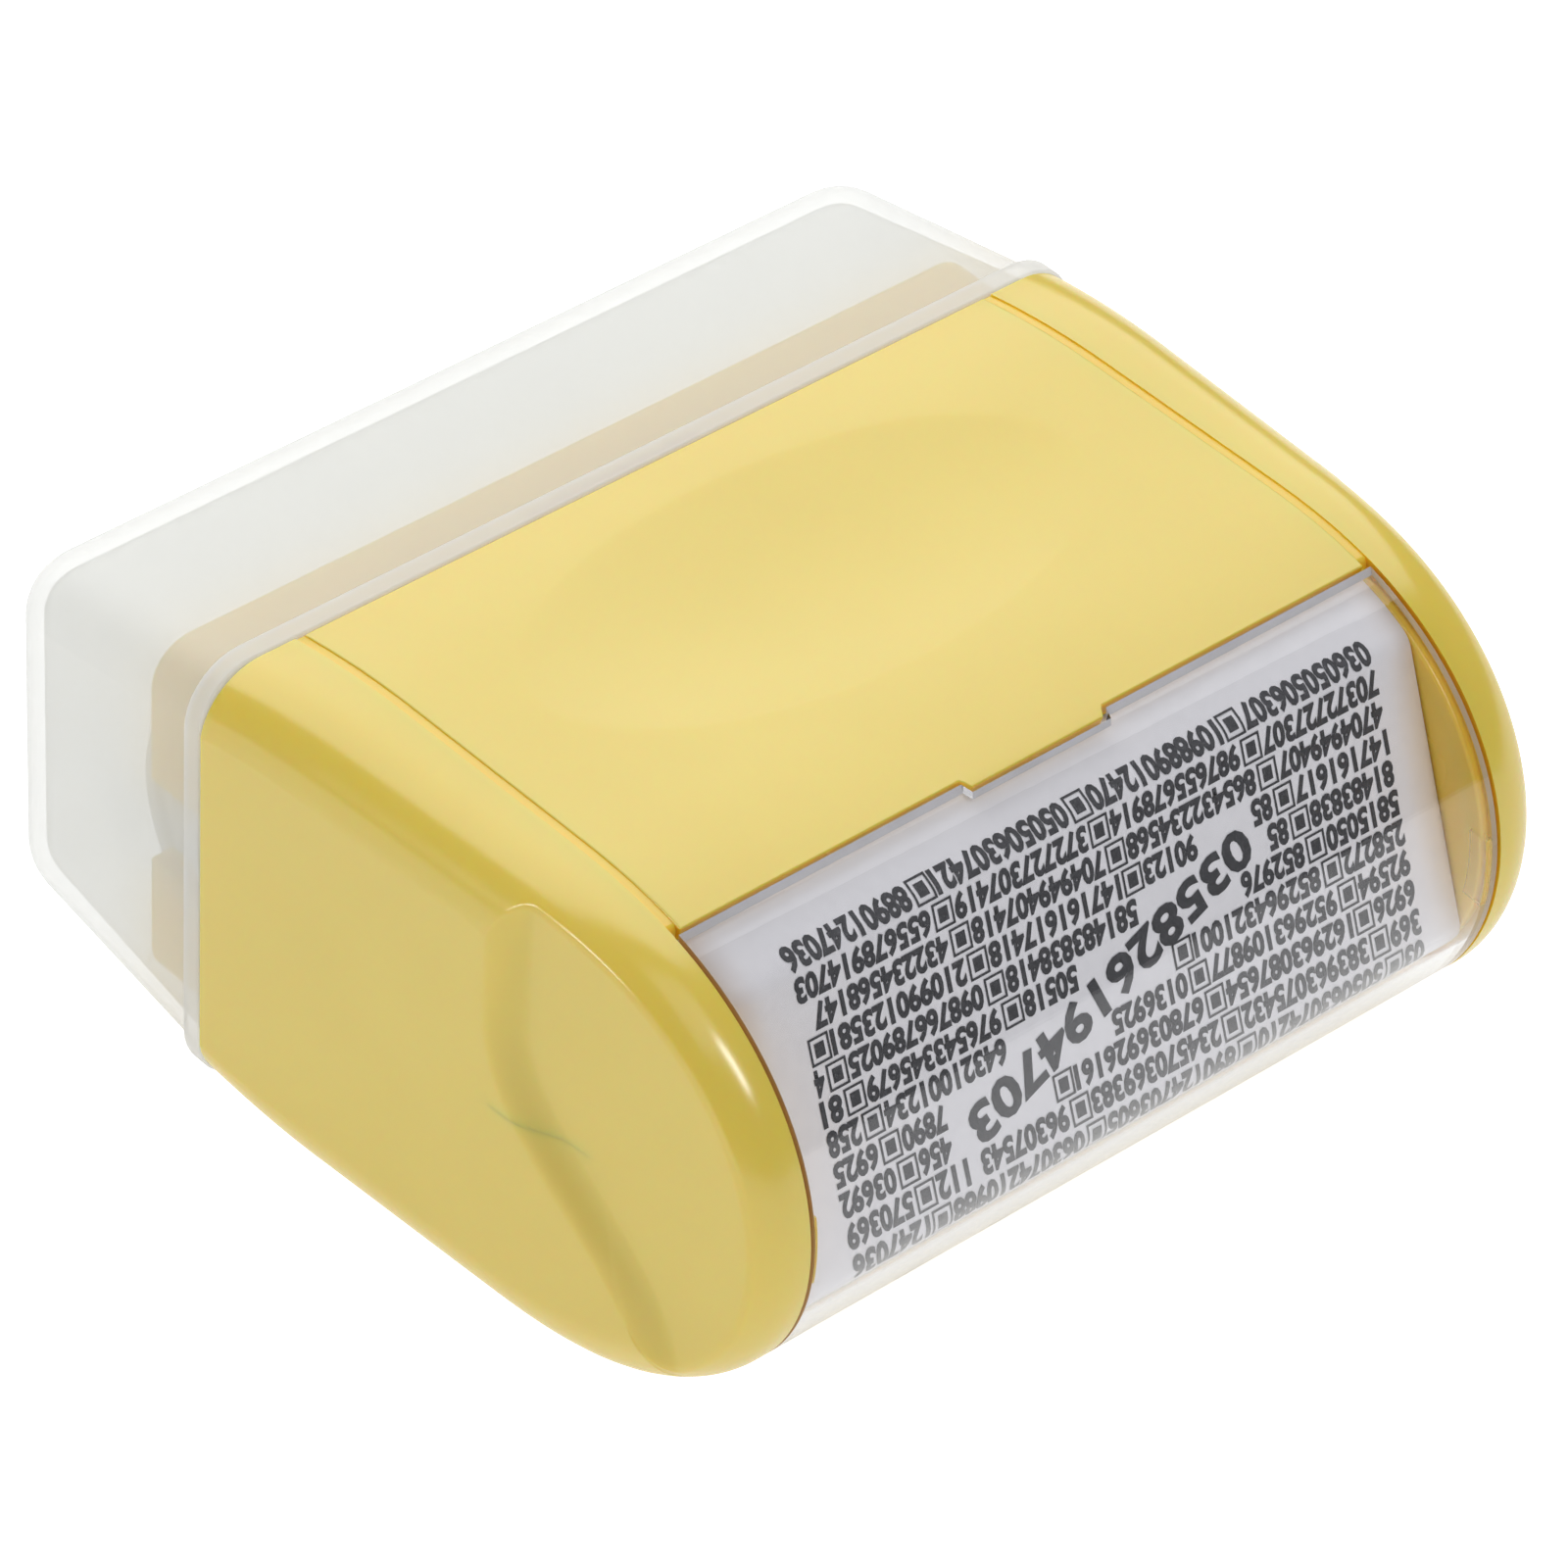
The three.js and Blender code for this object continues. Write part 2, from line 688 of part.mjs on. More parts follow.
function inkBush(side) {
  const x0 = Math.min(side * armInner, side * armOuter);
  const x1 = Math.max(side * armInner, side * armOuter);
  return rodAlongX(inkBushRadius, x0, x1, inkRollerY, 0, smallFacets)
    .subtract(rodAlongX(axleBore, -halfWidth, halfWidth, inkRollerY, 0, smallFacets));
}

addPart('left_ink_bush', inkBush(-1), whitePlastic);
addPart('right_ink_bush', inkBush(1), whitePlastic);

// Wick pad between the ink roller and the filler, and the filler plug
const padHalfLength = armInner - padEndMargin;
const pad = block(-padHalfLength, padHalfLength, padRear, padFront, -padHeight / 2, padHeight / 2);
addPart('ink_wick_pad', pad, inkedFelt);

const plug = rodAlongY(plugHeadRadius, 0, plugFront, plugFront + plugHeadThickness, 0, smallFacets)
  .add(rodAlongY(
    spoutBore - clearance,
    0,
    plugFront + plugHeadThickness / 2,
    plugFront + plugHeadThickness + clearance + plugStemLength,
    0,
    smallFacets,
  ));
addPart('filler_plug', plug, plugRubber);

// The whole stamp stands on its lower face, centred over the origin
stamp.position.set(0, (bodyLength - capLength) / 2, bodyHalf);

export default stamp;
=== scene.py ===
"""Privacy roller stamp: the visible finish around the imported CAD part. Blender 4.5, metres, +Z up."""

import math

import bmesh
import bpy
import numpy as np
from mathutils import Euler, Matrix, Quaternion, Vector


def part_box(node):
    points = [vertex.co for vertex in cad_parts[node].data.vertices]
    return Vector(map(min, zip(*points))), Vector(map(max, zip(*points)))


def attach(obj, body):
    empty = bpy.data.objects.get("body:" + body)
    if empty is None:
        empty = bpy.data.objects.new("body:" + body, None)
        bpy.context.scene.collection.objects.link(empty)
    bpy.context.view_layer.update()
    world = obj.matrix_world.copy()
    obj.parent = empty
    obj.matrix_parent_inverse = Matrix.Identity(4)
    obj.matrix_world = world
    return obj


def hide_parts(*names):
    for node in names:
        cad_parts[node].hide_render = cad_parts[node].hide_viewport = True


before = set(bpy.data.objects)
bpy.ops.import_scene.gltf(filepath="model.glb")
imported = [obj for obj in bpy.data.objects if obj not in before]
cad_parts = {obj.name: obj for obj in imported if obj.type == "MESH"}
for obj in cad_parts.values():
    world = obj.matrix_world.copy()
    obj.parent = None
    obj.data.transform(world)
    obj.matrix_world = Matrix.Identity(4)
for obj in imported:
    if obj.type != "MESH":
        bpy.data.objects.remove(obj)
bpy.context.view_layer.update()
scene = bpy.context.scene

# Camera: a long lens above the nose's left corner, level with the photograph's view.
# It looks at a point inside the body, and is rolled a little.
camera_azimuth = math.radians(-43.291)
camera_elevation = math.radians(39.485)
camera_roll = math.radians(3.201)
camera_distance = 0.49877
camera_aim = Vector((0.003257, 0.003560, 0.010387))
camera_back = Vector(
    (
        math.sin(camera_azimuth) * math.cos(camera_elevation),
        -math.cos(camera_azimuth) * math.cos(camera_elevation),
        math.sin(camera_elevation),
    )
)
camera_data = bpy.data.cameras.new("camera")
camera_data.sensor_width = 36
camera_data.lens = 208.67
camera = bpy.data.objects.new("camera", camera_data)
camera.rotation_mode = "QUATERNION"
camera.rotation_quaternion = camera_back.to_track_quat("Z", "Y") @ Quaternion((0, 0, 1), camera_roll)
camera.location = camera_aim + camera_back * camera_distance
scene.collection.objects.link(camera)
scene.camera = camera

# Studio: a pale floor that runs out of sight, a dim even surround, four soft boxes and a white card. The
# box behind gives the wide face its pale sheen, the one at the left lights the ridge of the recess, and
# the narrow one in front makes the bright spot on the round edge.
scene.view_settings.view_transform = "Standard"
scene.cycles.use_denoising = True
scene.cycles.transparent_max_bounces = 32

surround = bpy.data.worlds.new("surround")
surround.use_nodes = True
surround.node_tree.nodes["Background"].inputs["Color"].default_value = (0.98, 0.99, 1.0, 1)
surround.node_tree.nodes["Background"].inputs["Strength"].default_value = 0.2
scene.world = surround


def soft_box(name, direction, distance, width, height, brightness):
    """An area light of an even brightness that faces the stamp from a direction."""
    light = bpy.data.lights.new(name, "AREA")
    light.shape = "RECTANGLE"
    light.size = width
    light.size_y = height
    light.energy = brightness * 4 * width * height
    lamp = bpy.data.objects.new(name, light)
    lamp.location = Vector(direction).normalized() * distance
    lamp.rotation_mode = "QUATERNION"
    lamp.rotation_quaternion = Vector(direction).to_track_quat("Z", "Y")
    scene.collection.objects.link(lamp)


soft_box("soft_box_behind", (0.277, 0.595, 0.755), 0.9, 1.5, 1, 1.4)
soft_box("soft_box_above", (-0.1, -0.35, 0.9), 0.8, 0.5, 0.5, 0.7)
soft_box("soft_box_left", (-0.909, 0.296, 0.292), 0.9, 0.2, 0.2, 6)
soft_box("white_card_left", (-0.98, -0.17, 0.12), 0.9, 0.5, 0.3, 0.5)
soft_box("soft_box_front", (0.1, -0.68, 0.73), 0.8, 0.09, 0.3, 12)

floor_mesh = bpy.data.meshes.new("floor")
bm = bmesh.new()
bmesh.ops.create_grid(bm, x_segments=1, y_segments=1, size=3)
bm.to_mesh(floor_mesh)
bm.free()
floor = bpy.data.objects.new("floor", floor_mesh)
scene.collection.objects.link(floor)
floor_paint = bpy.data.materials.new("floor_paint")
floor_paint.use_nodes = True
nodes, links = floor_paint.node_tree.nodes, floor_paint.node_tree.links
floor_shader = nodes["Principled BSDF"]
floor_shader.inputs["Base Color"].default_value = (0.45, 0.45, 0.45, 1)
floor_shader.inputs["Roughness"].default_value = 0.9
floor_shader.inputs["Specular IOR Level"].default_value = 0.1
floor_shader.inputs["Emission Color"].default_value = (1, 1, 1, 1)
# The floor is lit from below; what it sends to the stamp is less than what the camera sees
path = nodes.new("ShaderNodeLightPath")
glow = nodes.new("ShaderNodeMapRange")
glow.inputs["To Min"].default_value = 0.66
glow.inputs["To Max"].default_value = 1.02
links.new(path.outputs["Is Camera Ray"], glow.inputs["Value"])
links.new(glow.outputs["Result"], floor_shader.inputs["Emission Strength"])
floor_mesh.materials.append(floor_paint)

# Side covers: the two yellow moulded ends of the body, with round edges and a finger recess at the nose.
# Each snaps on and wraps from the cap seam round the nose and back. Its ledge makes the floor of the groove
# and carries the label window. Their sizes start at the cap seam's middle and run towards the nose.
seam_place = Vector((0, 0.01185, 0.015))
body_length = 0.0419
seam_half = 0.0142
body_half = 0.015
crest_start = 0.009
crest_end = 0.022
nose_roundness = 2.5
body_half_width = 0.031
flank_taper = 0.0021
flank_gather = 0.013
edge_radius = 0.004
groove_edge = 0.02468
groove_floor = 0.00011
groove_corner = 0.00004
groove_tuck = 0.0002
window_seat = 0.0013
seat_start = (0.0300, 0.0359)
seat_ramp = 0.0003
skirt_depth = 0.0016
skirt_extra = 0.005
ledge_edge = 0.02414
ledge_round = 0.0002
recess_depth = 0.00115
recess_slope = 0.0024
recess_ease = 0.85
recess_edge = [(0.0219, 0.006), (0.0219, -0.0023), (0.0326, -0.0039), (0.0338, -0.0105)]
recess_overrun = 0.005
recess_foot_lean = 0.001
ridge_round = 0.0009
seam_overrun = 0.002
sheet_merge = 0.000004
hair = 0.00001
shell_wall = 0.001
lip_radius = 0.00014


def half_thickness(distance):
    """Half the body's thickness at distances from the cap seam."""
    front = body_half - (body_half - seam_half) * (1 - distance / crest_start) ** 2
    reach = np.clip((distance - crest_end) / (body_length - crest_end), 0, 1)
    return np.where(distance < crest_start, front, body_half * np.sqrt(1 - reach**nose_roundness))


def nose_distance(height):
    """Distance of the nose's surface from the cap seam at heights."""
    reach = np.maximum(1 - (np.abs(height) / body_half) ** 2, 0) ** (1 / nose_roundness)
    return crest_end + (body_length - crest_end) * reach


def body_outline(upper_end, lower_end, count):
    """Even points along the body's side outline, from the upper face round the nose to the lower face."""
    upper = np.linspace(upper_end, crest_end, 200) if upper_end < crest_end else np.array([])
    lower = np.linspace(crest_end, lower_end, 200) if lower_end < crest_end else np.array([])
    height = body_half * np.cos(np.linspace(0, math.pi, 1201))
    nose = nose_distance(height)
    kept = nose >= np.where(height > 0, upper_end, lower_end)
    distance = np.concatenate([upper, nose[kept], lower])
    height = np.concatenate([half_thickness(upper), height[kept], -half_thickness(lower)])
    length = np.concatenate([[0], np.cumsum(np.hypot(np.diff(distance), np.diff(height)))])
    even = np.linspace(0, length[-1], count)
    distance = np.interp(even, length, distance)
    height = np.interp(even, length, height)
    along = np.stack([np.gradient(distance), np.gradient(height)], 1)
    along /= np.linalg.norm(along, axis=1)[:, None]
    inward = np.stack([along[:, 1], -along[:, 0]], 1)
    return distance, height, inward


def shaped_sheet(name, columns, rows, place):
    """A grid of quads, its points moved where place(column, row) says, smooth all over."""
    mesh = bpy.data.meshes.new(name)
    bm = bmesh.new()
    bmesh.ops.create_grid(bm, x_segments=columns - 1, y_segments=rows - 1, size=0.5)
    co = np.array([v.co[:2] for v in bm.verts])
    column = np.rint((co[:, 0] + 0.5) * (columns - 1)).astype(int)
    row = np.rint((co[:, 1] + 0.5) * (rows - 1)).astype(int)
    x, distance, height = place(column, row)
    for v, a, b, c in zip(bm.verts, x, distance, height):
        v.co = (a, -b, c)
    return mesh, bm


def face_out(bm, way):
    """Turns a skin so that its face furthest along a direction looks that way."""
    bmesh.ops.recalc_face_normals(bm, faces=bm.faces)
    way = Vector(way)
    outer = max(bm.faces, key=lambda f: f.calc_center_median().dot(way))
    if outer.normal.dot(way) < 0:
        bmesh.ops.reverse_faces(bm, faces=bm.faces)


def finished(mesh, bm, place=seam_place):
    """Writes the bmesh into its mesh at its place in the row frame and links an object for it."""
    bmesh.ops.translate(bm, verts=bm.verts, vec=place)
    for f in bm.faces:
        f.smooth = True
    bm.to_mesh(mesh)
    bm.free()
    piece = bpy.data.objects.new(mesh.name, mesh)
    scene.collection.objects.link(piece)
    return piece


def soft_edges(piece, radius, angle=50):
    """Rounds the edges of a piece and keeps its flat faces flat."""
    edge = piece.modifiers.new("edge", "BEVEL")
    edge.width = radius
    edge.segments = 3
    edge.limit_method = "ANGLE"
    edge.angle_limit = math.radians(angle)
    edge.harden_normals = True


def moulded_wall(piece, thickness, radius):
    """Gives a skin its wall and breaks its edges."""
    wall = piece.modifiers.new("wall", "SOLIDIFY")
    wall.thickness = thickness
    wall.offset = -1
    soft_edges(piece, radius)


def yellow_abs(name, deep, light, gloss_low, gloss_high):
    """Glossy moulded plastic: a faint uneven tint, a fine orange-peel skin and a soft sheen."""
    paint = bpy.data.materials.new(name)
    paint.use_nodes = True
    nodes, links = paint.node_tree.nodes, paint.node_tree.links
    shader = nodes["Principled BSDF"]
    place = nodes.new("ShaderNodeTexCoord")
    drift = nodes.new("ShaderNodeTexNoise")
    drift.inputs["Scale"].default_value = 60
    drift.inputs["Detail"].default_value = 2
    links.new(place.outputs["Object"], drift.inputs["Vector"])
    tint = nodes.new("ShaderNodeValToRGB")
    tint.color_ramp.elements[0].position = 0.35
    tint.color_ramp.elements[0].color = deep
    tint.color_ramp.elements[1].position = 0.65
    tint.color_ramp.elements[1].color = light
    links.new(drift.outputs["Fac"], tint.inputs["Fac"])
    links.new(tint.outputs["Color"], shader.inputs["Base Color"])
    peel = nodes.new("ShaderNodeTexNoise")
    peel.inputs["Scale"].default_value = 900
    peel.inputs["Detail"].default_value = 1
    links.new(place.outputs["Object"], peel.inputs["Vector"])
    skin = nodes.new("ShaderNodeBump")
    skin.inputs["Strength"].default_value = 0.02
    skin.inputs["Distance"].default_value = 0.0002
    links.new(peel.outputs["Fac"], skin.inputs["Height"])
    links.new(skin.outputs["Normal"], shader.inputs["Normal"])
    gloss = nodes.new("ShaderNodeMapRange")
    gloss.inputs["To Min"].default_value = gloss_low
    gloss.inputs["To Max"].default_value = gloss_high
    links.new(drift.outputs["Fac"], gloss.inputs["Value"])
    links.new(gloss.outputs["Result"], shader.inputs["Roughness"])
    shader.inputs["Specular IOR Level"].default_value = 0.85
    shader.inputs["Subsurface Weight"].default_value = 0.5
    shader.inputs["Subsurface Radius"].default_value = (1, 0.38, 0.07)
    shader.inputs["Subsurface Scale"].default_value = 0.0016
    return paint


body_paint = yellow_abs("body_paint", (0.768, 0.583, 0.082, 1), (0.788, 0.604, 0.092, 1), 0.19, 0.23)
# The ledge and the cut edges are thinner. Their brighter, more orange yellow is a painted glow that stands in for
# the warmer light which comes through them and bounces in the groove.
ledge_glow_paint = yellow_abs("ledge_glow_paint", (0.98, 0.57, 0.035, 1), (0.985, 0.6, 0.045, 1), 0.24, 0.3)

outline_points = 500
strip_rows = 3
round_shares = np.concatenate([np.linspace(0, 0.86, 12)[1:], [0.885, 0.91, 0.935, 0.96, 0.98, 1]])
flank_shares = np.concatenate([[0.006, 0.012, 0.019, 0.027, 0.036, 0.046], np.linspace(0.06, 1, 43)])


def flank_limit(distance, height):
    """Half the width that the recess leaves: a step with soft edges, then a flat floor."""
    share = np.linspace(0, 1, 60)[:, None]
    a, b, c, d = (np.array(p) for p in recess_edge)
    curve = a * (1 - share) ** 3 + 3 * b * share * (1 - share) ** 2 + 3 * c * share**2 * (1 - share) + d * share**3
    head = [(recess_edge[0][0], body_half + recess_overrun)]
    foot = [(recess_edge[3][0] + recess_foot_lean, -body_half - recess_overrun)]
    line = np.concatenate([head, curve, foot])
    best = np.full(len(distance), 1.0)
    point = np.stack([distance, height], 1)
    for p, q in zip(line[:-1], line[1:]):
        run = q - p
        along = np.clip(((point - p) @ run) / (run @ run), 0, 1)
        gap = np.linalg.norm(point - p - along[:, None] * run, axis=1)
        best = np.minimum(best, gap)
    edge_at = np.interp(-height, -line[:, 1], line[:, 0])
    inside = np.where(distance > edge_at, best, 0)
    step = np.clip(inside / recess_slope, 0, 1) ** recess_ease
    return body_half_width - flank_taper * distance / body_length - recess_depth * step**2 * (3 - 2 * step)


def side_cover(name, side, replaces):
    """One end of the body: rows of points from the ledge over the round edge to the flank's middle."""
    distance, height, inward = body_outline(-seam_overrun, -seam_overrun, outline_points)
    width = body_half_width - flank_taper * distance / body_length
    squeeze = width / body_half_width
    behind_window = np.clip((distance - np.where(height > 0, *seat_start)) / seat_ramp, 0, 1)
    ledge = groove_floor + (window_seat - groove_floor) * behind_window
    deep = skirt_depth + skirt_extra * behind_window
    # Where the recess's floor cuts the round edge
    turns = np.radians(np.linspace(0, 90, 181))
    inset = edge_radius * (1 - np.cos(turns))[:, None]
    reach = (body_half_width - edge_radius + edge_radius * np.sin(turns)[:, None]) * squeeze
    d, h = distance + inward[:, 0] * inset, height + inward[:, 1] * inset
    over = reach - flank_limit(d.ravel(), h.ravel()).reshape(d.shape)
    past = (over > 0).argmax(0)
    every = np.arange(outline_points)
    before = np.maximum(past - 1, 0)
    share = -over[before, every] / np.maximum(over[past, every] - over[before, every], 1e-9)
    ridge = np.where(past > 0, turns[before] + share * turns[1], math.pi / 2)
    ridge_inset = edge_radius * (1 - np.cos(ridge))
    ridge_d, ridge_h = distance + inward[:, 0] * ridge_inset, height + inward[:, 1] * ridge_inset
    ridge_x = (body_half_width - edge_radius + edge_radius * np.sin(ridge)) * squeeze
    spare = ridge_x - flank_limit(ridge_d, ridge_h)
    # The ridge between the round edge and the recess's floor is itself a little round
    bend = math.pi / 2 - ridge
    ridge_reach = ridge_round * np.tan(bend / 2)

    def ridge_cut(gap):
        """How far the rounding draws a point in, across and down, at a gap from the ridge."""
        cut = np.maximum(ridge_reach - gap, 0) ** 2 / (2 * ridge_round)
        return cut * np.cos(bend / 2), cut * np.sin(bend / 2)

    rows = []
    # Wall under the ledge, the ledge's round edge, the ledge, and the wall up to the surface
    bend_radius = groove_corner + (ledge_round - groove_corner) * behind_window
    edge = ledge_edge - groove_tuck * (1 - behind_window)
    for part in (0, 0.5):
        rows.append((edge, deep + (ledge + bend_radius - deep) * part))
    for turn in np.radians([0, 22.5, 45, 67.5, 90]):
        swing = bend_radius * (1 - math.cos(turn)), bend_radius * (1 - math.sin(turn))
        rows.append((edge + swing[0], ledge + swing[1]))
    rows.append((np.full(outline_points, groove_edge), ledge))
    round_start = (body_half_width - edge_radius) * squeeze
    for part in np.linspace(0, 1, strip_rows + 1):
        rows.append((groove_edge + (round_start - groove_edge) * part, np.zeros(outline_points)))
    for part in round_shares:
        turn = ridge * part
        cut_x, cut_in = ridge_cut(edge_radius * (ridge - turn))
        reach = round_start + edge_radius * squeeze * np.sin(turn) - cut_x
        rows.append((reach, edge_radius * (1 - np.cos(turn)) + cut_in))
    edge_x = np.array([r[0] for r in rows])
    edge_d = np.array([distance + inward[:, 0] * r[1] for r in rows])
    edge_h = np.array([height + inward[:, 1] * r[1] for r in rows])
    # The flank, drawn together on its middle line
    middle = np.clip(ridge_d, -seam_overrun, body_length - flank_gather)
    flank_d = ridge_d + (middle - ridge_d) * flank_shares[:, None]
    flank_h = ridge_h * (1 - flank_shares[:, None])
    flank_x = flank_limit(flank_d.ravel(), flank_h.ravel()).reshape(flank_d.shape)
    flank_x = flank_x + spare * (1 - flank_shares[:, None]) ** 2
    cut_x, cut_in = ridge_cut(flank_shares[:, None] * np.hypot(middle - ridge_d, ridge_h))
    flank_x = flank_x - cut_x
    flank_d = flank_d + inward[:, 0] * cut_in
    flank_h = flank_h + inward[:, 1] * cut_in
    all_x, all_d, all_h = (np.concatenate(p) for p in ((edge_x, flank_x), (edge_d, flank_d), (edge_h, flank_h)))

    def place(column, row):
        """Point of the outer skin."""
        return side * all_x[row, column], all_d[row, column], all_h[row, column]

    mesh, bm = shaped_sheet(name, outline_points, len(all_x), place)
    bmesh.ops.remove_doubles(bm, verts=bm.verts, dist=sheet_merge)
    bmesh.ops.bisect_plane(
        bm, geom=bm.verts[:] + bm.edges[:] + bm.faces[:], plane_co=(0, 0, 0), plane_no=(0, 1, 0), clear_outer=True
    )
    face_out(bm, (side, 0, 0))
    # Faces inside the groove's edge (the ledge, the groove floor and the walls under them) get the painted warm
    # glow
    for f in bm.faces:
        f.material_index = int(all(abs(v.co.x) < groove_edge + hair for v in f.verts))
    piece = finished(mesh, bm)
    moulded_wall(piece, shell_wall, lip_radius)
    mesh.materials.append(body_paint)
    mesh.materials.append(ledge_glow_paint)
    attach(piece, "housing")
    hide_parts(replaces)


side_cover("left_side_shell", -1, "left_side_cover")
side_cover("right_side_shell", 1, "right_side_cover")

# Upper and lower covers: the two wide faces between the grooves, moulded in the same yellow plastic, each
# with a shallow thumb dish and a slight dip across its middle. The upper one ends in a low tongue under the
# window's nail notch, and the lower one runs on under the nose to the label window.
cover_half = 0.0241
window_top = 0.0303
window_foot = 0.036
face_dip = 0.0003
dish_middle = 0.0127
dish_half = (0.0186, 0.0092)
dish_depth = 0.0008
dish_edge = 0.00003
tongue_half = 0.0048
tongue_length = 0.0006
tongue_drop = 0.00006
tongue_from, tongue_ramp = 0.93, 0.07
tongue_blend = 0.0002
dip_ease = 0.7


def wide_cover(name, side, end, tongue, replaces):
    """One wide face from the cap seam to its end, with or without the tongue."""
    columns, rows = 241, 130

    def place(column, row):
        """Point of the outer skin, with the dip, the dish and the tongue."""
        x = cover_half * (2 * column / (columns - 1) - 1)
        share = row / (rows - 1)
        across = np.clip((tongue_half - np.abs(x)) / tongue_blend + 0.5, 0, 1)
        in_tongue = tongue * across * np.clip((share - tongue_from) / tongue_ramp, 0, 1)
        d = end * share + tongue_length * in_tongue
        dip = face_dip * (1 - (x / cover_half) ** 2) * np.sin(np.pi * np.clip(d / window_top, 0, 1)) ** dip_ease
        round_out = 1 - (x / dish_half[0]) ** 2 - ((d - dish_middle) / dish_half[1]) ** 2
        hollow = dish_depth * round_out
        hollow = 0.5 * (hollow + np.sqrt(hollow**2 + dish_edge**2)) - 0.5 * dish_edge
        return x, d, side * (half_thickness(d) - dip - np.maximum(hollow, 0) - tongue_drop * in_tongue**2)

    mesh, bm = shaped_sheet(name, columns, rows, place)
    face_out(bm, (0, 0, side))
    piece = finished(mesh, bm)
    moulded_wall(piece, shell_wall, lip_radius)
    # The wall's cut rims get the painted warm glow of the ledge paint
    piece.modifiers["wall"].material_offset_rim = 1
    mesh.materials.append(body_paint)
    mesh.materials.append(ledge_glow_paint)
    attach(piece, "housing")
    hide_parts(replaces)


wide_cover("upper_shell", 1, window_top, 1, "upper_cover")
wide_cover("lower_shell", -1, window_foot, 0, "lower_cover")

# Label window: one clear polished moulding that wraps the nose between the side covers, with a nail notch
# in its upper edge and a snap pad inside each end, which holds it. Its sawn upper edge looks grey from
# within. Its side edges are painted amber, a painted reflection of the yellow wall that they lie against.
window_half = 0.0244
window_start = 0.0305
window_end = 0.0363
window_wall = 0.0008
window_columns, window_rows = 201, 150
notch_half = 0.005
notch_depth = 0.00065
notch_blend = 0.0002
notch_rows = 12
pad_inner = 0.0239
pad_half_height = 0.0022
pad_length = 0.0012
pad_reach = 0.035
upper_side = 0.01
side_skin = 0.0001
rim_reach = 0.002
slant_reach = 0.0016
rim_slant = 0.00027

clear_plastic = bpy.data.materials.new("clear_plastic")
clear_plastic.use_nodes = True
nodes, links = clear_plastic.node_tree.nodes, clear_plastic.node_tree.links
nodes.remove(nodes["Principled BSDF"])
place = nodes.new("ShaderNodeTexCoord")
flow = nodes.new("ShaderNodeTexNoise")
flow.inputs["Scale"].default_value = 120
links.new(place.outputs["Object"], flow.inputs["Vector"])
ripple = nodes.new("ShaderNodeBump")
ripple.inputs["Strength"].default_value = 0.02
ripple.inputs["Distance"].default_value = 0.0004
links.new(flow.outputs["Fac"], ripple.inputs["Height"])
acrylic = nodes.new("ShaderNodeBsdfGlass")
acrylic.inputs["Color"].default_value = (0.985, 0.987, 0.992, 1)
acrylic.inputs["Roughness"].default_value = 0
acrylic.inputs["IOR"].default_value = 1.49
links.new(ripple.outputs["Normal"], acrylic.inputs["Normal"])
unlit = nodes.new("ShaderNodeBsdfTransparent")
unlit.inputs["Color"].default_value = (0.96, 0.962, 0.967, 1)
path = nodes.new("ShaderNodeLightPath")
scattered = nodes.new("ShaderNodeMixShader")
links.new(path.outputs["Is Diffuse Ray"], scattered.inputs["Fac"])
links.new(acrylic.outputs["BSDF"], scattered.inputs[1])
links.new(unlit.outputs["BSDF"], scattered.inputs[2])
shadowed = nodes.new("ShaderNodeMixShader")
links.new(path.outputs["Is Shadow Ray"], shadowed.inputs["Fac"])
links.new(scattered.outputs["Shader"], shadowed.inputs[1])
links.new(unlit.outputs["BSDF"], shadowed.inputs[2])
links.new(shadowed.outputs["Shader"], nodes["Material Output"].inputs["Surface"])


def mottled(name, scale, dark, light, rough, detail=2, specular=0.5):
    """A plain finish whose tint drifts a little between two colours, in spots of one scale."""
    paint = bpy.data.materials.new(name)
    paint.use_nodes = True
    nodes, links = paint.node_tree.nodes, paint.node_tree.links
    shader = nodes["Principled BSDF"]
    place = nodes.new("ShaderNodeTexCoord")
    spots = nodes.new("ShaderNodeTexNoise")
    spots.inputs["Scale"].default_value = scale
    spots.inputs["Detail"].default_value = detail
    links.new(place.outputs["Object"], spots.inputs["Vector"])
    tint = nodes.new("ShaderNodeValToRGB")
    tint.color_ramp.elements[0].color = (*dark, 1)
    tint.color_ramp.elements[1].color = (*light, 1)
    links.new(spots.outputs["Fac"], tint.inputs["Fac"])
    links.new(tint.outputs["Color"], shader.inputs["Base Color"])
    shader.inputs["Roughness"].default_value = rough
    shader.inputs["Specular IOR Level"].default_value = specular
    return paint


window_rim = mottled("window_rim", 400, (0.42, 0.41, 0.43), (0.60, 0.59, 0.62), 0.35)
window_side_reflection = mottled("window_side_reflection", 300, (0.56, 0.40, 0.22), (0.70, 0.54, 0.33), 0.4)


def window_place(column, row):
    """Point of the window's outer skin. The first rows draw back at the nail notch."""
    x = window_half * (2 * column / (window_columns - 1) - 1)
    distance, height = body_outline(window_start, window_end, window_rows)[:2]
    cut = notch_depth * np.clip((notch_half - np.abs(x)) / notch_blend + 0.5, 0, 1)
    d = distance[row] + cut * np.clip(1 - row / notch_rows, 0, 1)
    return x, d, np.where(row < notch_rows, half_thickness(d), height[row])


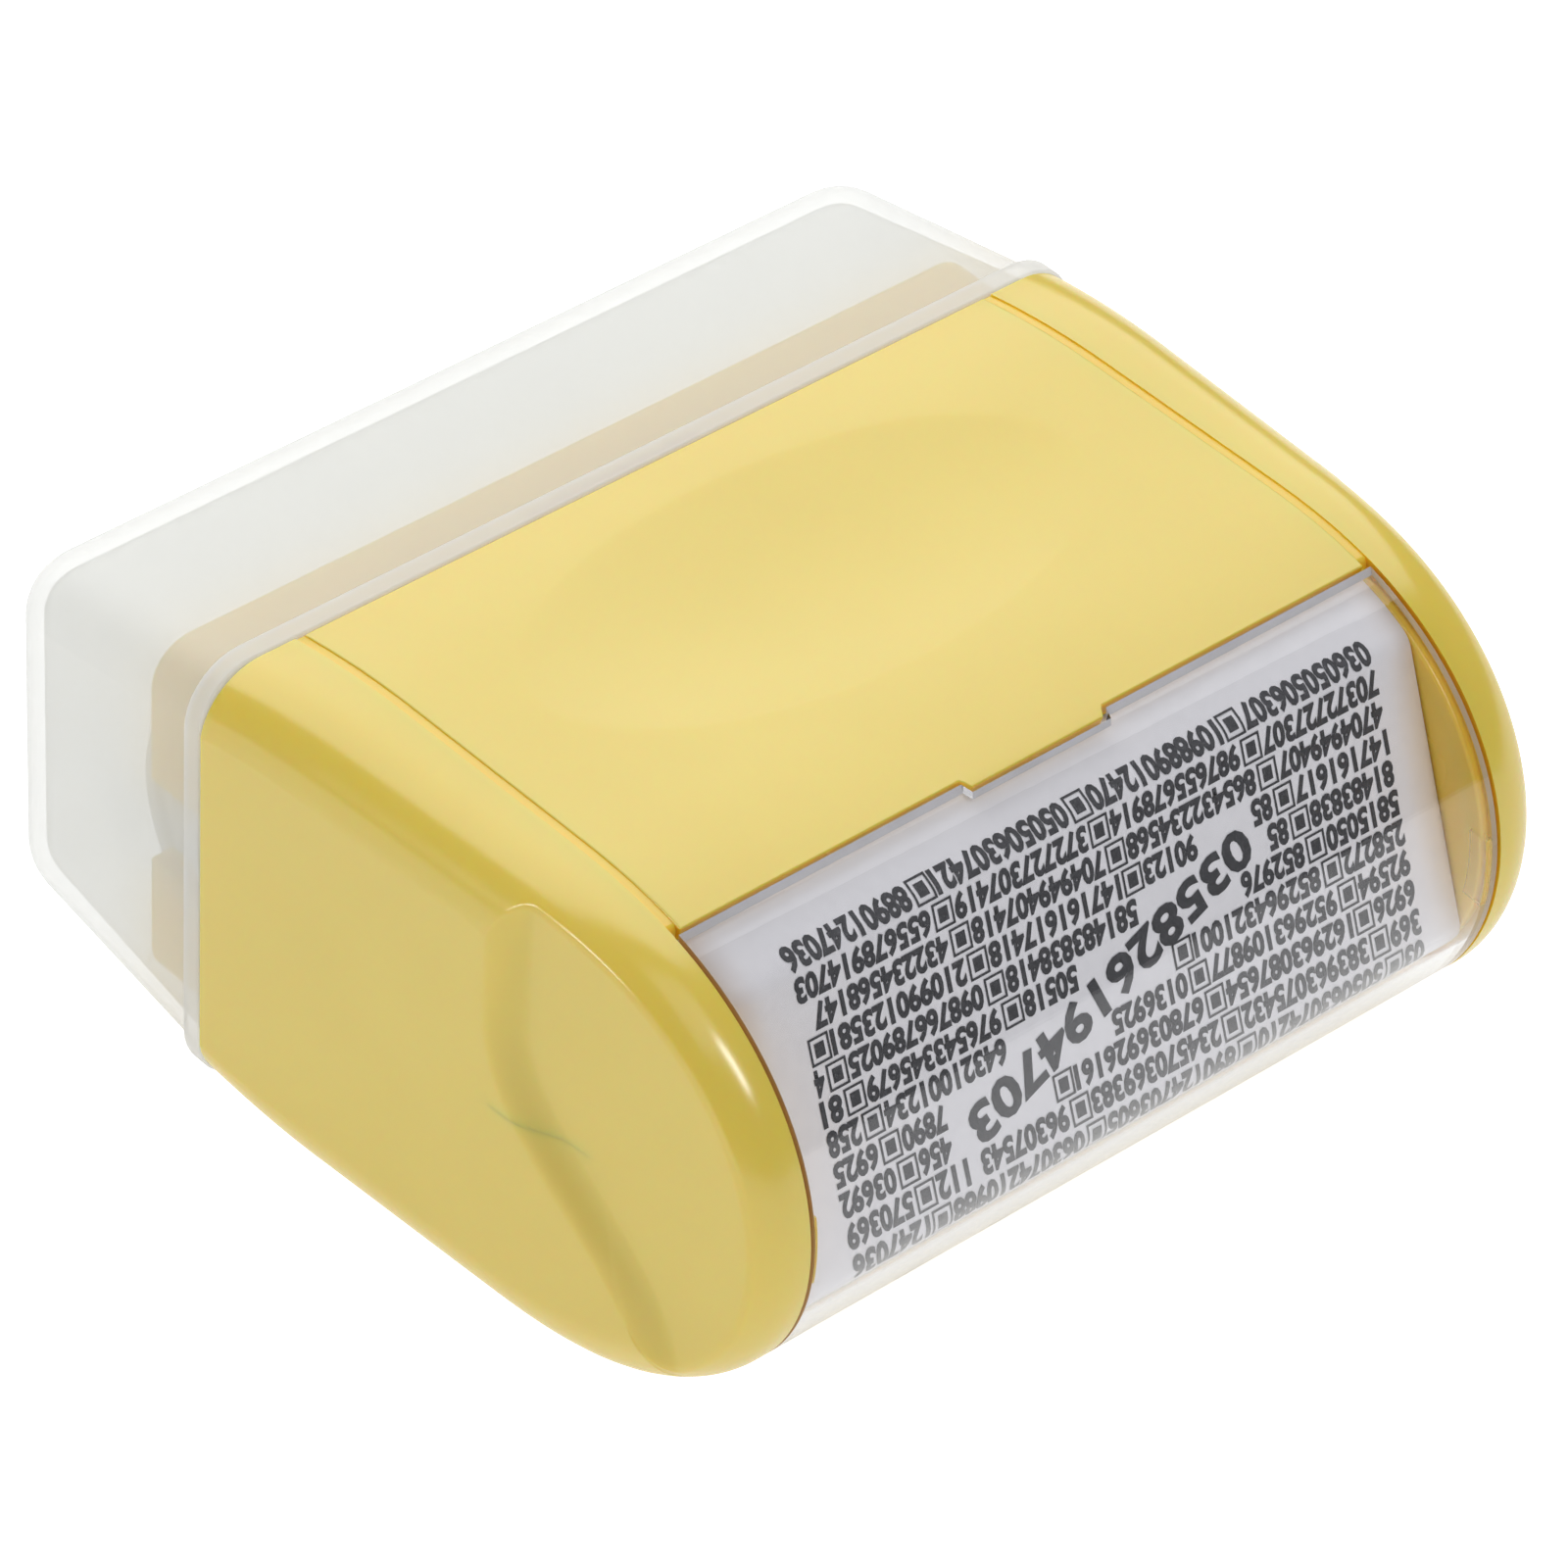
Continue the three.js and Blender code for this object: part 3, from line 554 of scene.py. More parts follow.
mesh, bm = shaped_sheet("window_shell", window_columns, window_rows, window_place)
face_out(bm, (0, -1, 0))
bmesh.ops.solidify(bm, geom=bm.faces[:], thickness=window_wall)
bm.normal_update()
for f in bm.faces:
    spot = f.calc_center_median()
    if f.normal.y > 0.6 and spot.z > upper_side and -spot.y < window_start + rim_reach:
        f.material_index = 1
    # The side end faces get the painted amber reflection of the yellow wall beside them
    elif abs(f.normal.x) > 0.9 and abs(spot.x) > window_half - side_skin:
        f.material_index = 2
for v in bm.verts:
    below = -v.co.y - window_start
    if v.co.z > upper_side and below < slant_reach and v.co.z < half_thickness(-v.co.y) - window_wall / 2:
        v.co.y -= rim_slant * (1 - below / slant_reach)
bm.normal_update()
pads = []
for f in bm.faces:
    spot = f.calc_center_median()
    if f.normal.y > 0.5 and spot.y < -pad_reach and abs(spot.z) < pad_half_height and abs(spot.x) > pad_inner:
        pads.append(f)
grown = bmesh.ops.extrude_face_region(bm, geom=pads)["geom"]
pad_tops = [g for g in grown if isinstance(g, bmesh.types.BMVert)]
bmesh.ops.translate(bm, verts=pad_tops, vec=(0, pad_length, 0))
bmesh.ops.delete(bm, geom=pads, context="FACES")
bm.normal_update()
for e in bm.edges:
    e.smooth = e.calc_face_angle(0) < 0.5
window = finished(mesh, bm)
mesh.materials.append(clear_plastic)
mesh.materials.append(window_rim)
mesh.materials.append(window_side_reflection)
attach(window, "window")
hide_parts("window_cover")

# Label card: thin white card that lies flat across the nose behind the window and follows it above and
# below. It is printed with rows of plain numbers, boxed marks between them, and one larger slanting run.
label_half = 0.0240
label_top = 0.0301
label_depth = 0.0011
label_thickness = 0.00025
label_flat_top = 0.0122
label_flat_foot = 0.0048
label_foot = 0.0084
label_columns, label_rows = 24, 120
bend_points = 24
fold_ease = 4

flat_top_distance = float(nose_distance(label_flat_top))
label_upper = np.linspace(label_top, flat_top_distance, bend_points)
label_lower = np.linspace(-label_flat_foot, -label_foot, bend_points)
label_line = np.concatenate(
    [
        np.stack([label_upper, half_thickness(label_upper)], 1),
        np.stack([nose_distance(label_lower), label_lower], 1),
    ]
)
label_run = np.concatenate([[0], np.cumsum(np.hypot(*np.diff(label_line, axis=0).T))])
label_even = np.linspace(0, label_run[-1], label_rows)


def eased(values):
    """Rounds off the card's folds."""
    near = 2 * fold_ease + 1
    longer = np.pad(values, fold_ease, mode="reflect", reflect_type="odd")
    return np.convolve(longer, np.ones(near) / near, "valid")


label_fine = np.stack([eased(np.interp(label_even, label_run, label_line[:, i])) for i in (0, 1)], 1)
label_along = np.gradient(label_fine, axis=0)
label_along /= np.linalg.norm(label_along, axis=1)[:, None]
card_line = label_fine + label_along[:, ::-1] * (label_depth, -label_depth)
card_run = np.concatenate([[0], np.cumsum(np.hypot(*np.diff(card_line, axis=0).T))])
flat_start = float(np.interp(label_run[bend_points - 1], label_even, card_run))


def label_place(run, depth):
    """Point of the card at a run down from its upper edge and a depth under the body's surface."""
    d, h = (np.interp(run, card_run, label_fine[:, i]) for i in (0, 1))
    a, b = (np.interp(run, card_run, label_along[:, i]) for i in (0, 1))
    return d + b * depth, h - a * depth


def card_place(column, row):
    """Point of the card's face."""
    x = label_half * (2 * column / (label_columns - 1) - 1)
    d, h = label_place(card_run[-1] * row / (label_rows - 1), label_depth)
    return x, d, h


paper = mottled("label_paper", 1500, (0.83, 0.815, 0.845), (0.91, 0.895, 0.925), 0.75, 3, 0.2)
mesh, bm = shaped_sheet("label_sheet", label_columns, label_rows, card_place)
face_out(bm, (0, -1, 0))
card = finished(mesh, bm)
wall = card.modifiers.new("wall", "SOLIDIFY")
wall.thickness = label_thickness
wall.offset = -1
mesh.materials.append(paper)
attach(card, "housing")
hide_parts("label_card")

row_first = -0.00047
row_lean = 0.004
row_pitch = 0.001757
row_count = 11
digit_height = 0.00156
digit_pitch = 0.00078
digit_gap = 0.12
digit_weight = 0.045
group_slots = 14
mark_slots = 2
mark_width = 1.75
mark_stroke = 0.00014
mark_core = (0.26, 0.24, 0.74, 0.76)
print_left = -0.0208
print_right = 0.0213
print_lift = 0.00003
slant_digits = "035826194703"
slant_from = Vector((-0.0107, 0.0134))
slant_to = Vector((0.0107, 0.0060))
slant_height = 0.0025
slant_weight = 0.035
slant_band = 0.0020
slant_clear = (0.001, 0.0015)
# Where the card bends, the print is cut along these rows
print_cuts = np.concatenate([np.arange(-0.0024, 0.0012, 0.00015), np.arange(0.0155, 0.0200, 0.00025)])
print_ink = mottled("print_ink", 2500, (0.018, 0.018, 0.022), (0.045, 0.045, 0.052), 0.6)


def digit_mesh(text, height, width, weight):
    """Digits as flat faces, from the left foot of the first one, condensed to a width."""
    line = bpy.data.curves.new("digits", "FONT")
    line.body = text
    line.size = 1
    line.offset = weight
    line.resolution_u = 3
    word = bpy.data.objects.new("digits", line)
    scene.collection.objects.link(word)
    flat = bpy.data.meshes.new_from_object(word.evaluated_get(bpy.context.evaluated_depsgraph_get()))
    bpy.data.objects.remove(word)
    co = np.array([v.co[:2] for v in flat.vertices])
    low, high = co.min(0), co.max(0)
    co = (co - low) / (high - low) * (width, height)
    return flat, co


def printed(bm, corners, faces):
    """Adds flat faces to the print, each corner given across and down from the flat's start."""
    added = [bm.verts.new((across, run, 0)) for across, run in corners]
    for face in faces:
        bm.faces.new([added[i] for i in face])


bm = bmesh.new()
slots = int((print_right - print_left) / digit_pitch)
slant_way = (slant_to - slant_from).normalized()
slant_length = (slant_to - slant_from).length
for line in range(row_count):
    # Text runs against X, because the label reads from the other side
    word, word_start = "", 0
    for slot in range(slots + 1):
        across = print_right - digit_pitch * slot
        foot = row_first + row_lean * across + row_pitch * line - digit_height / 2
        spot = Vector((across, foot + digit_height / 2)) - slant_from
        along = spot.dot(slant_way)
        beside = abs(spot.x * slant_way.y - spot.y * slant_way.x)
        blocked = -slant_clear[0] < along < slant_length + slant_clear[1] and beside < slant_band
        turn = (slot + line) % group_slots
        if slot < slots and turn < group_slots - mark_slots and not blocked:
            if not word:
                word_start = slot
            word += str((3 * slot + 7 * line + slot * slot // 5) % 10)
            continue
        if word:
            width = digit_pitch * (len(word) - digit_gap)
            flat, co = digit_mesh(word, digit_height, width, digit_weight)
            edge = print_right - digit_pitch * word_start
            base = row_first + row_pitch * line - digit_height / 2
            corners = [(edge - x, base + row_lean * (edge - x) + y) for x, y in co]
            printed(bm, corners, [p.vertices for p in flat.polygons])
            word = ""
        if slot < slots - 1 and turn == group_slots - mark_slots and not blocked:
            wide, tall, stroke = digit_pitch * mark_width, digit_height, mark_stroke
            boxes = [(0, 0, wide, stroke), (0, tall - stroke, wide, tall), (0, stroke, stroke, tall - stroke)]
            boxes += [(wide - stroke, stroke, wide, tall - stroke)]
            left, low, right, high = mark_core
            boxes += [(wide * left, tall * low, wide * right, tall * high)]
            for x0, y0, x1, y1 in boxes:
                corners = [(across - x, foot + y) for x, y in ((x0, y0), (x1, y0), (x1, y1), (x0, y1))]
                printed(bm, corners, [(0, 1, 2, 3)])

flat, co = digit_mesh(slant_digits, slant_height, slant_length, slant_weight)
slant_side = Vector((-slant_way.y, slant_way.x))
if slant_side.y < 0:
    slant_side = -slant_side
corners = [slant_to - slant_way * x + slant_side * (y - slant_height / 2) for x, y in co]
printed(bm, corners, [p.vertices for p in flat.polygons])
for run in print_cuts:
    whole = bm.verts[:] + bm.edges[:] + bm.faces[:]
    bmesh.ops.bisect_plane(bm, geom=whole, plane_co=(0, run, 0), plane_no=(0, 1, 0))
# The flat print is laid on the card
for v in bm.verts:
    d, h = label_place(flat_start + v.co.y, label_depth - print_lift)
    v.co = (v.co.x, -d, h)
bmesh.ops.triangulate(bm, faces=bm.faces)
bm.normal_update()
for f in bm.faces:
    if f.normal.y > 0:
        f.normal_flip()
mesh = bpy.data.meshes.new("label_print")
label_print = finished(mesh, bm)
mesh.materials.append(print_ink)
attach(label_print, "housing")

# Inner frame and label carrier: the yellow mouldings inside. The frame's neck shows through the cap.
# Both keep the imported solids' shapes, with their facets joined and every edge rounded.
frame_edge = 0.00022
facet_angle = math.radians(0.5)
# Painted light: a lighter, more orange copy of the body yellow, standing in for the light that reaches the neck
# through the cap
frame_lit_paint = yellow_abs("frame_lit_paint", (0.90, 0.66, 0.13, 1), (0.92, 0.68, 0.14, 1), 0.30, 0.38)


def rounded_copy(name, node, radius):
    """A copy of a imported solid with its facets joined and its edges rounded."""
    mesh = bpy.data.meshes.new(name)
    bm = bmesh.new()
    bm.from_mesh(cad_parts[node].data)
    bmesh.ops.remove_doubles(bm, verts=bm.verts, dist=hair)
    bmesh.ops.dissolve_limit(bm, angle_limit=facet_angle, verts=bm.verts, edges=bm.edges)
    piece = finished(mesh, bm, Vector((0, 0, 0)))
    soft_edges(piece, radius, 35)
    mesh.materials.clear()
    mesh.materials.append(frame_lit_paint)
    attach(piece, "housing")
    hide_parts(node)


rounded_copy("inner_frame_moulding", "inner_frame", frame_edge)
rounded_copy("label_carrier_moulding", "label_carrier", frame_edge)

# Cap: a milky polypropylene cup pushed over the neck, thin walled, drawn in towards its closed end, with a
# bead round its rim. It lets the neck show through dimly, and the bead is thick enough to look almost white.
cap_length = 0.0182
cap_rim = 0.0001
cap_bead = 0.00145
cap_mouth_half = (0.0306, 0.0138)
cap_end_half = (0.0302, 0.0111)
cap_corner = 0.0036
cap_end_radius = 0.0033
cap_wall = 0.001
cap_edge = 0.00022
bead_half = (0.03104, 0.01424)
bead_fade = (0.0014, 0.0017)
clear_in_bead, clear_in_wall = 0.3, 0.57
mouth_plane = 0.002
end_plane = cap_length - 0.0001

milky = bpy.data.materials.new("milky_cap")
milky.use_nodes = True
nodes, links = milky.node_tree.nodes, milky.node_tree.links
shader = nodes["Principled BSDF"]
place = nodes.new("ShaderNodeTexCoord")
cloud = nodes.new("ShaderNodeTexNoise")
cloud.inputs["Scale"].default_value = 90
cloud.inputs["Detail"].default_value = 2
links.new(place.outputs["Object"], cloud.inputs["Vector"])
milk = nodes.new("ShaderNodeValToRGB")
milk.color_ramp.elements[0].color = (0.94, 0.947, 0.94, 1)
milk.color_ramp.elements[1].color = (0.962, 0.97, 0.962, 1)
links.new(cloud.outputs["Fac"], milk.inputs["Fac"])
links.new(milk.outputs["Color"], shader.inputs["Base Color"])
shader.inputs["Roughness"].default_value = 0.36
shader.inputs["Specular IOR Level"].default_value = 0.3
clear = nodes.new("ShaderNodeBsdfTransparent")
clear.inputs["Color"].default_value = (0.965, 0.967, 0.963, 1)
through = nodes.new("ShaderNodeBsdfTranslucent")
links.new(milk.outputs["Color"], through.inputs["Color"])
body_mix = nodes.new("ShaderNodeMixShader")
body_mix.inputs["Fac"].default_value = 0.35
links.new(shader.outputs["BSDF"], body_mix.inputs[1])
links.new(through.outputs["BSDF"], body_mix.inputs[2])
apart = nodes.new("ShaderNodeSeparateXYZ")
links.new(place.outputs["Object"], apart.inputs["Vector"])
thick = nodes.new("ShaderNodeMapRange")
thick.inputs["From Min"].default_value = seam_place.y + bead_fade[0]
thick.inputs["From Max"].default_value = seam_place.y + bead_fade[1]
thick.inputs["To Min"].default_value = clear_in_bead
thick.inputs["To Max"].default_value = clear_in_wall
links.new(apart.outputs["Y"], thick.inputs["Value"])
# The flatter the look along the wall, the more milk there is to look through
slope = nodes.new("ShaderNodeLayerWeight")
slope.inputs["Blend"].default_value = 0.3
share = nodes.new("ShaderNodeMapRange")
share.inputs["From Min"].default_value = 0.35
share.inputs["To Min"].default_value = 1
share.inputs["To Max"].default_value = 0.3
links.new(slope.outputs["Facing"], share.inputs["Value"])
clear_share = nodes.new("ShaderNodeMath")
clear_share.operation = "MULTIPLY"
links.new(thick.outputs["Result"], clear_share.inputs[0])
links.new(share.outputs["Result"], clear_share.inputs[1])
whole = nodes.new("ShaderNodeMixShader")
links.new(clear_share.outputs["Value"], whole.inputs["Fac"])
links.new(body_mix.outputs["Shader"], whole.inputs[1])
links.new(clear.outputs["BSDF"], whole.inputs[2])
links.new(whole.outputs["Shader"], nodes["Material Output"].inputs["Surface"])

mesh = bpy.data.meshes.new("cap_shell")
bm = bmesh.new()
bmesh.ops.create_cube(bm, size=2)
for v in bm.verts:
    half = cap_end_half if v.co.y > 0 else cap_mouth_half
    v.co = (v.co.x * half[0], cap_length if v.co.y > 0 else cap_bead, v.co.z * half[1])
mouth = [f for f in bm.faces if all(v.co.y < mouth_plane for v in f.verts)]
bmesh.ops.delete(bm, geom=mouth, context="FACES_ONLY")
long_edges = [e for e in bm.edges if abs(e.verts[0].co.y - e.verts[1].co.y) > cap_length / 2]
bmesh.ops.bevel(bm, geom=long_edges, offset=cap_corner, segments=9, profile=0.5, affect="EDGES", material=-1)
end_edges = [
    e
    for e in bm.edges
    if all(v.co.y > end_plane for v in e.verts)
    and any(all(v.co.y > end_plane for v in f.verts) for f in e.link_faces)
    and any(any(v.co.y < mouth_plane for v in f.verts) for f in e.link_faces)
]
bmesh.ops.bevel(bm, geom=end_edges, offset=cap_end_radius, segments=9, profile=0.5, affect="EDGES", material=-1)
rim = [e for e in bm.edges if e.is_boundary]
grown = bmesh.ops.extrude_edge_only(bm, edges=rim)["geom"]
for v in [g for g in grown if isinstance(g, bmesh.types.BMVert)]:
    v.co.x *= bead_half[0] / cap_mouth_half[0]
    v.co.z *= bead_half[1] / cap_mouth_half[1]
rim = [g for g in grown if isinstance(g, bmesh.types.BMEdge) and g.is_boundary]
grown = bmesh.ops.extrude_edge_only(bm, edges=rim)["geom"]
for v in [g for g in grown if isinstance(g, bmesh.types.BMVert)]:
    v.co.y = cap_rim
face_out(bm, (0, 1, 0))
cap = finished(mesh, bm)
moulded_wall(cap, cap_wall, cap_edge)
mesh.materials.append(milky)
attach(cap, "cap_body")
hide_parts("cap")

# Print sleeve: pale rubber on the drum, with rows of raised digits, which are mirrored so that they print
# the right way round. It is pushed over the drum's core.
drum_middle = (0, 0.001, 0)
sleeve_half_length = 0.02556
sleeve_root = 0.009036
sleeve_bore = 0.007236
tube_edge = 0.0002
relief_top = 0.00963
relief_sink = 0.0001
relief_rows = 14
relief_start = 0.31
relief_height = 0.0024
relief_pitch = 0.00146
relief_weight = 0.02
relief_digits = 34
point_merge = 0.000001


def grained(name, dark, light, scale, rough, bump, metallic=0, stretch=(1, 1, 1)):
    """A matt or metal finish with a fine grain in its tint, its gloss and its skin."""
    paint = bpy.data.materials.new(name)
    paint.use_nodes = True
    nodes, links = paint.node_tree.nodes, paint.node_tree.links
    shader = nodes["Principled BSDF"]
    place = nodes.new("ShaderNodeTexCoord")
    spread = nodes.new("ShaderNodeMapping")
    spread.inputs["Scale"].default_value = stretch
    links.new(place.outputs["Object"], spread.inputs["Vector"])
    grain = nodes.new("ShaderNodeTexNoise")
    grain.inputs["Scale"].default_value = scale
    grain.inputs["Detail"].default_value = 4
    links.new(spread.outputs["Vector"], grain.inputs["Vector"])
    tint = nodes.new("ShaderNodeValToRGB")
    tint.color_ramp.elements[0].position = 0.3
    tint.color_ramp.elements[0].color = (*dark, 1)
    tint.color_ramp.elements[1].position = 0.7
    tint.color_ramp.elements[1].color = (*light, 1)
    links.new(grain.outputs["Fac"], tint.inputs["Fac"])
    links.new(tint.outputs["Color"], shader.inputs["Base Color"])
    gloss = nodes.new("ShaderNodeMapRange")
    gloss.inputs["To Min"].default_value = rough[0]
    gloss.inputs["To Max"].default_value = rough[1]
    links.new(grain.outputs["Fac"], gloss.inputs["Value"])
    links.new(gloss.outputs["Result"], shader.inputs["Roughness"])
    skin = nodes.new("ShaderNodeBump")
    skin.inputs["Strength"].default_value = bump
    skin.inputs["Distance"].default_value = 0.0002
    links.new(grain.outputs["Fac"], skin.inputs["Height"])
    links.new(skin.outputs["Normal"], shader.inputs["Normal"])
    shader.inputs["Metallic"].default_value = metallic
    return paint


def turned(name, outline, middle, radius, paint, body, replaces, steps=96, along_y=False):
    """Spins an outline of (along, radius) points round its own axis and rounds its edges."""
    mesh = bpy.data.meshes.new(name)
    bm = bmesh.new()
    points = [bm.verts.new((x, r, 0)) for x, r in outline]
    edges = [bm.edges.new(pair) for pair in zip(points, points[1:])]
    if outline[0][1] > 0:
        edges.append(bm.edges.new((points[-1], points[0])))
    bmesh.ops.spin(
        bm, geom=points + edges, cent=(0, 0, 0), axis=(1, 0, 0), angle=2 * math.pi, steps=steps, use_merge=True
    )
    bmesh.ops.remove_doubles(bm, verts=bm.verts, dist=point_merge)
    if along_y:
        bmesh.ops.rotate(bm, verts=bm.verts, cent=(0, 0, 0), matrix=Euler((0, 0, math.pi / 2)).to_matrix())
    bmesh.ops.recalc_face_normals(bm, faces=bm.faces)
    piece = finished(mesh, bm, seam_place + Vector(middle))
    soft_edges(piece, radius, 30)
    mesh.materials.append(paint)
    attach(piece, body)
    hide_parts(replaces)


def tube(half_length, bore, outer):
    """Outline of a plain tube."""
    return [(-half_length, bore), (-half_length, outer), (half_length, outer), (half_length, bore)]


rubber = grained("print_rubber", (0.84, 0.81, 0.69), (0.90, 0.87, 0.76), 900, (0.55, 0.7), 0.15)
sleeve = tube(sleeve_half_length, sleeve_bore, sleeve_root)
turned("sleeve_body", sleeve, drum_middle, tube_edge, rubber, "stamp_drum", "print_sleeve")

bm = bmesh.new()
row_step = 2 * math.pi / relief_rows
for row in range(relief_rows):
    word = "".join(str((5 * i + 3 * row + i * i // 7) % 10) for i in range(relief_digits))
    flat, co = digit_mesh(word, relief_height, relief_pitch * relief_digits, relief_weight)
    centre = row_step * (row + relief_start)
    added = []
    for x, y in co:
        angle = centre + (y - relief_height / 2) / relief_top
        across = x - relief_pitch * relief_digits / 2
        added.append(bm.verts.new((across, relief_top * math.cos(angle), relief_top * math.sin(angle))))
    for polygon in flat.polygons:
        bm.faces.new([added[i] for i in polygon.vertices])
bmesh.ops.remove_doubles(bm, verts=bm.verts, dist=point_merge)
grown = bmesh.ops.extrude_face_region(bm, geom=bm.faces[:])["geom"]
for v in [g for g in grown if isinstance(g, bmesh.types.BMVert)]:
    v.co.y *= (sleeve_root - relief_sink) / relief_top
    v.co.z *= (sleeve_root - relief_sink) / relief_top
bmesh.ops.recalc_face_normals(bm, faces=bm.faces)
mesh = bpy.data.meshes.new("sleeve_relief")
relief = finished(mesh, bm, seam_place + Vector(drum_middle))
for f in mesh.polygons:
    f.use_smooth = False
mesh.materials.append(rubber)
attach(relief, "stamp_drum")

# Drum core and its two ends: pale grey moulded plastic. The core is a plain tube, and the ends have a spigot
# that is pressed into it, a raised hub, and a hole that runs on the axle.
core_radius = 0.006936
core_bore = 0.005536
spigot_radius = 0.005236
spigot_length = 0.003
end_wall = 0.0013
end_edge = 0.00015
end_step = 0.0003
end_dish = 0.0006
dish_wall = (0.0082, 0.0079)
hub_wall = (0.0036, 0.0032)
drum_half_length = 0.02716
axle_hole = 0.0015
grey_plastic = grained("grey_plastic", (0.80, 0.79, 0.73), (0.86, 0.85, 0.79), 500, (0.35, 0.45), 0.05)
core = tube(sleeve_half_length, core_bore, core_radius)
turned("core_tube", core, drum_middle, tube_edge, grey_plastic, "stamp_drum", "drum_core")


def turned_pair(kind, suffix, outline, middle, radius, paint, body, steps=96):
    """A left and a right piece, the mirror of each other."""
    for side, way in (("left", -1), ("right", 1)):
        node = f"{side}_{kind}"
        mirrored = [(way * x, r) for x, r in outline]
        turned(f"{node}_{suffix}", mirrored, middle, radius, paint, body, node, steps=steps)


inner, plate = sleeve_half_length - spigot_length, drum_half_length - end_wall
outline = [
    (inner, axle_hole),
    (inner, spigot_radius),
    (plate, spigot_radius),
    (plate, sleeve_root),
    (drum_half_length - end_step, sleeve_root),
    (drum_half_length - end_step, dish_wall[0]),
    (drum_half_length - end_dish, dish_wall[1]),
    (drum_half_length - end_dish, hub_wall[0]),
    (drum_half_length, hub_wall[1]),
    (drum_half_length, axle_hole),
]
turned_pair("drum_end", "cap", outline, drum_middle, end_edge, grey_plastic, "stamp_drum")

# Drum axle and its bushes: a steel pin with chamfered ends, held by two white bushes that snap into the
# slots of the frame's neck.
axle_radius = 0.0012
axle_chamfer = 0.0003
axle_edge = 0.00005
bush_radius = 0.003
bush_inner = 0.02746
bush_outer = 0.02886
bush_chamfer = 0.0002
bush_edge = 0.00012
bush_dimple = 0.0003
dimple_wall = (0.0022, 0.002)
steel = grained("axle_steel", (0.50, 0.51, 0.53), (0.66, 0.67, 0.69), 300, (0.18, 0.34), 0.04, 1, (0.15, 1, 1))
white_plastic = grained("white_acetal", (0.88, 0.87, 0.82), (0.93, 0.92, 0.87), 400, (0.3, 0.4), 0.04)
outline = [
    (-bush_outer, 0),
    (-bush_outer, axle_radius - axle_chamfer),
    (axle_chamfer - bush_outer, axle_radius),
    (bush_outer - axle_chamfer, axle_radius),
    (bush_outer, axle_radius - axle_chamfer),
    (bush_outer, 0),
]
turned("axle_pin", outline, drum_middle, axle_edge, steel, "housing", "drum_axle", steps=48)
outline = [
    (bush_inner, axle_hole),
    (bush_inner, bush_radius),
    (bush_outer - bush_chamfer, bush_radius),
    (bush_outer, bush_radius - bush_chamfer),
    (bush_outer, dimple_wall[0]),
    (bush_outer - bush_dimple, dimple_wall[1]),
    (bush_outer - bush_dimple, axle_hole),
]
turned_pair("axle_bush", "turned", outline, drum_middle, bush_edge, white_plastic, "housing", 64)

# Ink roller: a felt sleeve soaked in dark ink on a white core, whose journals run in two bushes in the
# frame's arms. It rolls on the print sleeve.
ink_middle = (0, -0.014336, 0)
ink_half_length = 0.02448
felt_radius = 0.0054
felt_bore = 0.0028
felt_edge = 0.0004
ink_core_radius = 0.0025
ink_core_edge = 0.00015
arm_inner = 0.02498
arm_outer = 0.02648
ink_bush_radius = 0.0023
felt = grained("inked_felt", (0.012, 0.014, 0.03), (0.05, 0.06, 0.11), 1600, (0.85, 1.0), 0.9)
felt.node_tree.nodes["Principled BSDF"].inputs["Sheen Weight"].default_value = 0.3
felt_tube = tube(ink_half_length, felt_bore, felt_radius)
turned("felt_sleeve", felt_tube, ink_middle, felt_edge, felt, "ink_roller", "ink_roller_felt")
outline = [
    (-arm_outer, 0),
    (-arm_outer, axle_radius),
    (-ink_half_length, axle_radius),
    (-ink_half_length, ink_core_radius),
    (ink_half_length, ink_core_radius),
    (ink_half_length, axle_radius),
    (arm_outer, axle_radius),
    (arm_outer, 0),
]
turned(
    "ink_core_turned",
    outline,
    ink_middle,
    ink_core_edge,
    white_plastic,
    "ink_roller",
    "ink_roller_core",
    steps=48,
)
outline = [
    (arm_inner, axle_hole),
    (arm_inner, ink_bush_radius),
    (arm_outer, ink_bush_radius),
    (arm_outer, axle_hole),
]
turned_pair("ink_bush", "turned", outline, ink_middle, bush_edge, white_plastic, "housing", 48)

